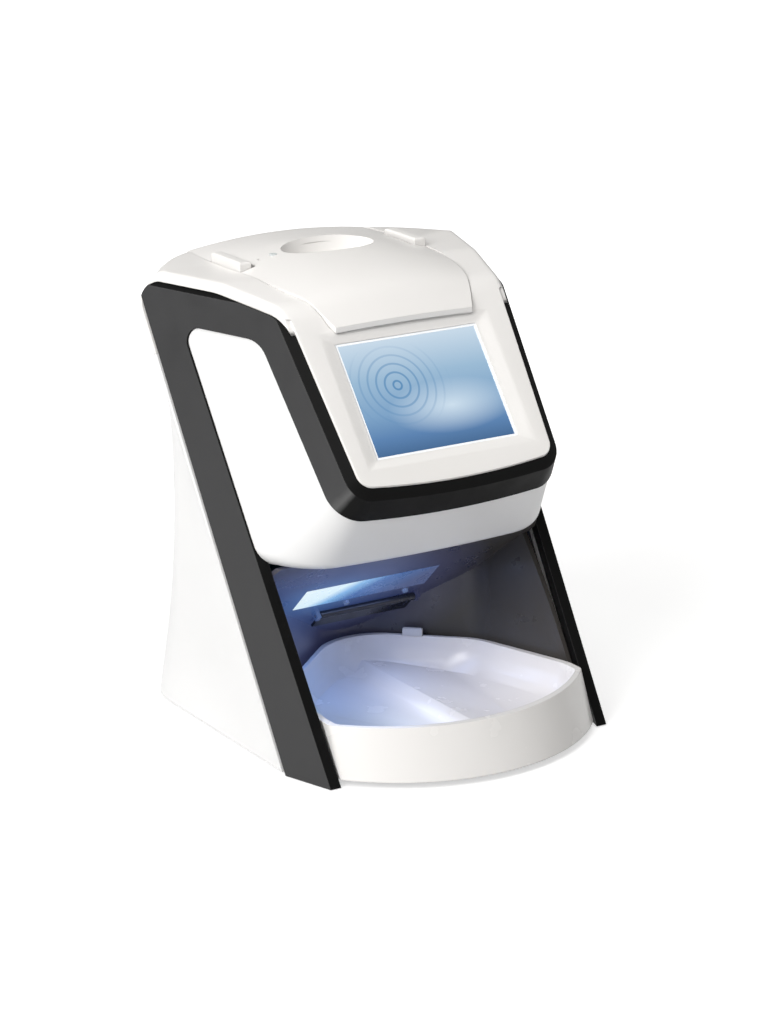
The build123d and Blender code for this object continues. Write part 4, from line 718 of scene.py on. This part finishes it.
# %% Dress the plastic works
PLASTIC_WORKS = [
    (
        plastic("black_lacquer", (0.018, 0.018, 0.019), (0.028, 0.028, 0.03), 0.4, strength=0.25),
        "stepper_motor spinner_motor light_sensor",
    ),
    (
        plastic("socket_black", (0.012, 0.012, 0.013), (0.02, 0.02, 0.021), 0.45, strength=0.3),
        "power_inlet rocker_frame power_rocker",
    ),
    (
        plastic("grey_moulding", (0.16, 0.16, 0.17), (0.2, 0.2, 0.21), 0.5, strength=0.25),
        "exit_chute slot_shutter plate_holder socket_panel",
    ),
    (
        plastic("pale_grey_moulding", (0.58, 0.58, 0.60), (0.62, 0.62, 0.64), 0.38, strength=0.1),
        "tray_pull",
    ),
    (
        plastic("foot_rubber", (0.015, 0.015, 0.015), (0.024, 0.024, 0.024), 0.8, 1200, 0.5),
        "rubber_feet",
    ),
    (
        plastic("nut_acetal", (0.72, 0.71, 0.67), (0.76, 0.75, 0.71), 0.35),
        "screw_nut",
    ),
    (
        plastic("base_moulding", (0.11, 0.11, 0.115), (0.14, 0.14, 0.145), 0.55, strength=0.3),
        "base_plate",
    ),
    (
        plastic("circuit_board", (0.010, 0.075, 0.032), (0.018, 0.11, 0.05), 0.3, 1800, 0.2, coat=0.3),
        "strip_board display_board erase_board main_board",
    ),
]
for finish, parts in PLASTIC_WORKS:
    dress(finish, *parts.split())

# %% [markdown]
# ## Lenses and the blue filter
# The scan lens, the light guide and the sensor's filter let light through, so they need a shader with
# transmission. Ground optics are very smooth, and a trace of uneven gloss keeps them from looking unreal.

# %% Dress the optics


def clear_optic(name, colour, clearness):
    """Glass or filter: tinted, smooth and let through by a share of one."""
    material, tree, output = shader_tree(name)
    shader = tree.nodes.new("ShaderNodeBsdfPrincipled")
    shader.inputs["Base Color"].default_value = (*colour, 1)
    shader.inputs["Transmission Weight"].default_value = clearness
    shader.inputs["IOR"].default_value = 1.5
    tree.links.new(spread(tree, noise(tree, 300, 3), 0.01, 0.05), shader.inputs["Roughness"])
    tree.links.new(shader.outputs["BSDF"], output.inputs["Surface"])
    return material


dress(clear_optic("optic_glass", (0.86, 0.93, 0.95), 0.9), "scan_lens", "light_guide")
dress(clear_optic("blue_filter", (0.05, 0.12, 0.5), 0.6), "sensor_filter")

# %% [markdown]
# ## Where a new piece belongs
# Every new piece rides on a moving body of the solid model. One lookup finds that body from the name of a
# part that the new piece sits on.

# %% A helper that finds a body


def body_name(node):
    return body_of(nodes[node])[0]


print("the cover rides on:", body_name("top_cover"))

# %% [markdown]
# ## Smooth skins for the curved mouldings
# The solid model comes in as loose triangles, so long curves show faint facets. A copy of each large moulding
# is merged into one skin, and every edge that bends less than a limit is shaded smooth. The copy stands in
# the node's place and keeps its finish. Its outline is the solid's, but for two spring posts: they reach
# about a millimetre through the cover's surface, and in the cover's skin they end flush with it.

# %% Merge and smooth the visible mouldings
MERGE = 0.01 * MM
POSTS_SIDE = (41, 46)
POSTS_DEEP = (66, 71.2)
POSTS_ABOVE = 253.9
SMOOTH_LIMITS = {
    "receiving_tray": 42,
    "top_cover": 24,
    "top_housing": 24,
    "chin_shell": 24,
    "rear_shell": 24,
    "hoop": 20,
}


def is_post_top(corner):
    """Whether a corner lies on the raised end of a spring post. The ranges are in millimetres."""
    x, y, z = corner.co / MM
    beside = POSTS_SIDE[0] < abs(x) < POSTS_SIDE[1] and POSTS_DEEP[0] < y < POSTS_DEEP[1]
    return beside and z > POSTS_ABOVE


def sink_posts(bm):
    """Brings the tops of the spring posts down onto the corners where the posts meet the cover."""
    sunk = 0
    for corner in filter(is_post_top, bm.verts):
        below = [edge.other_vert(corner) for edge in corner.link_edges]
        below = [
            v for v in below if (v.co.xy - corner.co.xy).length < 0.02 * MM and v.co.z < corner.co.z
        ]
        if below:
            corner.co.z = max(v.co.z for v in below)
            sunk += 1
    bmesh.ops.remove_doubles(bm, verts=bm.verts, dist=MERGE)
    print("post corners brought down:", sunk)


def smooth_skin(node, limit):
    """A merged copy of a node, smooth over edges that bend less than a limit in degrees."""
    source = nodes[node]
    bm = bmesh.new()
    bm.from_mesh(source.data)
    bmesh.ops.remove_doubles(bm, verts=bm.verts, dist=MERGE)
    if node == "top_cover":
        sink_posts(bm)
    for face in bm.faces:
        face.smooth = True
    for edge in bm.edges:
        edge.smooth = edge.is_manifold and edge.calc_face_angle(0) < math.radians(limit)
    mesh = bpy.data.meshes.new(node + "_skin")
    bm.to_mesh(mesh)
    bm.free()
    mesh.materials.append(source.data.materials[0])
    skin = bpy.data.objects.new(node + "_skin", mesh)
    scene.collection.objects.link(skin)
    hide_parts(node)
    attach(skin, body_name(node))
    print(skin.name, "faces:", len(mesh.polygons))


for node, limit in SMOOTH_LIMITS.items():
    smooth_skin(node, limit)

# %% [markdown]
# ## Small shapes that catch the eye
# A few details are too small for the solid model but show up close: the spring contacts in the network
# socket, the pin of the power inlet and the marks on the rocker. Each one is a short bmesh recipe: start from
# a simple shape, then squeeze, copy, spin or bevel it.

# %% Helpers for small pieces
TO_THE_REAR = Matrix.Rotation(math.radians(-90), 3, "X")


def drawn(x, y, z):
    """A point given in the solid model's drawing, in millimetres."""
    return Vector((x * MM, y * MM + DRAWN_SHIFT, z * MM))


def block(bm, wide, deep, high):
    """A cube squeezed to a size in millimetres."""
    corners = bmesh.ops.create_cube(bm, size=1)["verts"]
    bmesh.ops.scale(bm, verts=corners, vec=(wide * MM, deep * MM, high * MM))
    return corners


def new_piece(name, bm, material, body):
    """Writes a bmesh to a new object that rides on a body."""
    bmesh.ops.recalc_face_normals(bm, faces=bm.faces)
    mesh = bpy.data.meshes.new(name)
    bm.to_mesh(mesh)
    bm.free()
    mesh.materials.append(material)
    piece = bpy.data.objects.new(name, mesh)
    scene.collection.objects.link(piece)
    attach(piece, body)
    print(name, "faces:", len(mesh.polygons))


# %% [markdown]
# ## Contacts in the network socket
# Network sockets have eight sprung contacts that slope down into the mouth. One strip is a cube squeezed to
# size with its front end pushed down, and seven more are duplicates.

# %% Make the contacts
CONTACTS = 8
CONTACT_PITCH = 1.02
CONTACT_DROP = 1.6 * MM
gold = metal("contact_gold", (0.72, 0.54, 0.22), (0.82, 0.64, 0.32), 0.22, None, 0.03)


def socket_contacts():
    bm = bmesh.new()
    strip = block(bm, 0.7, 6.5, 0.4)
    front = [v for v in strip if v.co.y > 0]
    bmesh.ops.translate(bm, verts=front, vec=(0, 0, -CONTACT_DROP))
    first_x = -(CONTACTS - 1) / 2 * CONTACT_PITCH
    bmesh.ops.translate(bm, verts=strip, vec=drawn(first_x, 109.2, 34.6))
    first = bm.verts[:] + bm.edges[:] + bm.faces[:]
    for i in range(1, CONTACTS):
        copy = bmesh.ops.duplicate(bm, geom=first)["geom"]
        moved = [item for item in copy if isinstance(item, bmesh.types.BMVert)]
        bmesh.ops.translate(bm, verts=moved, vec=(CONTACT_PITCH * MM * i, 0, 0))
    return bm


new_piece("socket_contacts", socket_contacts(), gold, body_name("network_socket"))

# %% [markdown]
# ## The pin in the power inlet
# A low-voltage inlet has one round pin in its middle. It is a cone with two equal ends, which is a cylinder,
# with its tip bevelled round, turned to point to the rear.

# %% Make the pin
PIN_RADIUS = 0.75 * MM
PIN_LENGTH = 8.5


def inlet_pin():
    bm = bmesh.new()
    length = PIN_LENGTH * MM
    bmesh.ops.create_cone(
        bm, cap_ends=True, segments=24, radius1=PIN_RADIUS, radius2=PIN_RADIUS, depth=length
    )
    tip = [edge for edge in bm.edges if min(v.co.z for v in edge.verts) > length / 2 - MERGE]
    bmesh.ops.bevel(
        bm,
        geom=tip,
        offset=PIN_RADIUS * 0.6,
        offset_type="OFFSET",
        segments=4,
        profile=0.5,
        affect="EDGES",
        material=-1,
    )
    bmesh.ops.rotate(bm, verts=bm.verts, cent=(0, 0, 0), matrix=TO_THE_REAR)
    bmesh.ops.translate(bm, verts=bm.verts, vec=drawn(-28, 104.4 + PIN_LENGTH / 2, 30))
    return bm


new_piece("inlet_pin", inlet_pin(), ground_steel, body_name("power_inlet"))

# %% [markdown]
# ## The marks on the rocker
# Power rockers carry a bar for on and a ring for off. The ring is a small circle spun round in a full turn,
# and the bar is a squeezed cube. They ride on the rocker, so they tilt with it.

# %% Make the marks
RING_RADIUS = 1.6 * MM
RING_THICKNESS = 0.25 * MM


def rocker_marks():
    bm = bmesh.new()
    ring = bmesh.ops.create_circle(bm, segments=8, radius=RING_THICKNESS)["verts"]
    bmesh.ops.translate(bm, verts=ring, vec=(RING_RADIUS, 0, 0))
    bmesh.ops.spin(
        bm,
        geom=bm.edges[:],
        cent=(0, 0, 0),
        axis=(0, 0, 1),
        angle=math.tau,
        steps=32,
        use_merge=True,
    )
    bmesh.ops.rotate(bm, verts=bm.verts, cent=(0, 0, 0), matrix=TO_THE_REAR)
    bmesh.ops.translate(bm, verts=bm.verts, vec=drawn(27, 114.25, 34.6))
    bar = block(bm, 0.6, 0.3, 3.4)
    bmesh.ops.translate(bm, verts=bar, vec=drawn(27, 115.05, 25.4))
    return bm


# The marks wear the rim's finish, so they carry its faint painted glow too.
new_piece("rocker_marks", rocker_marks(), rim_skin_painted_glow, body_name("power_rocker"))
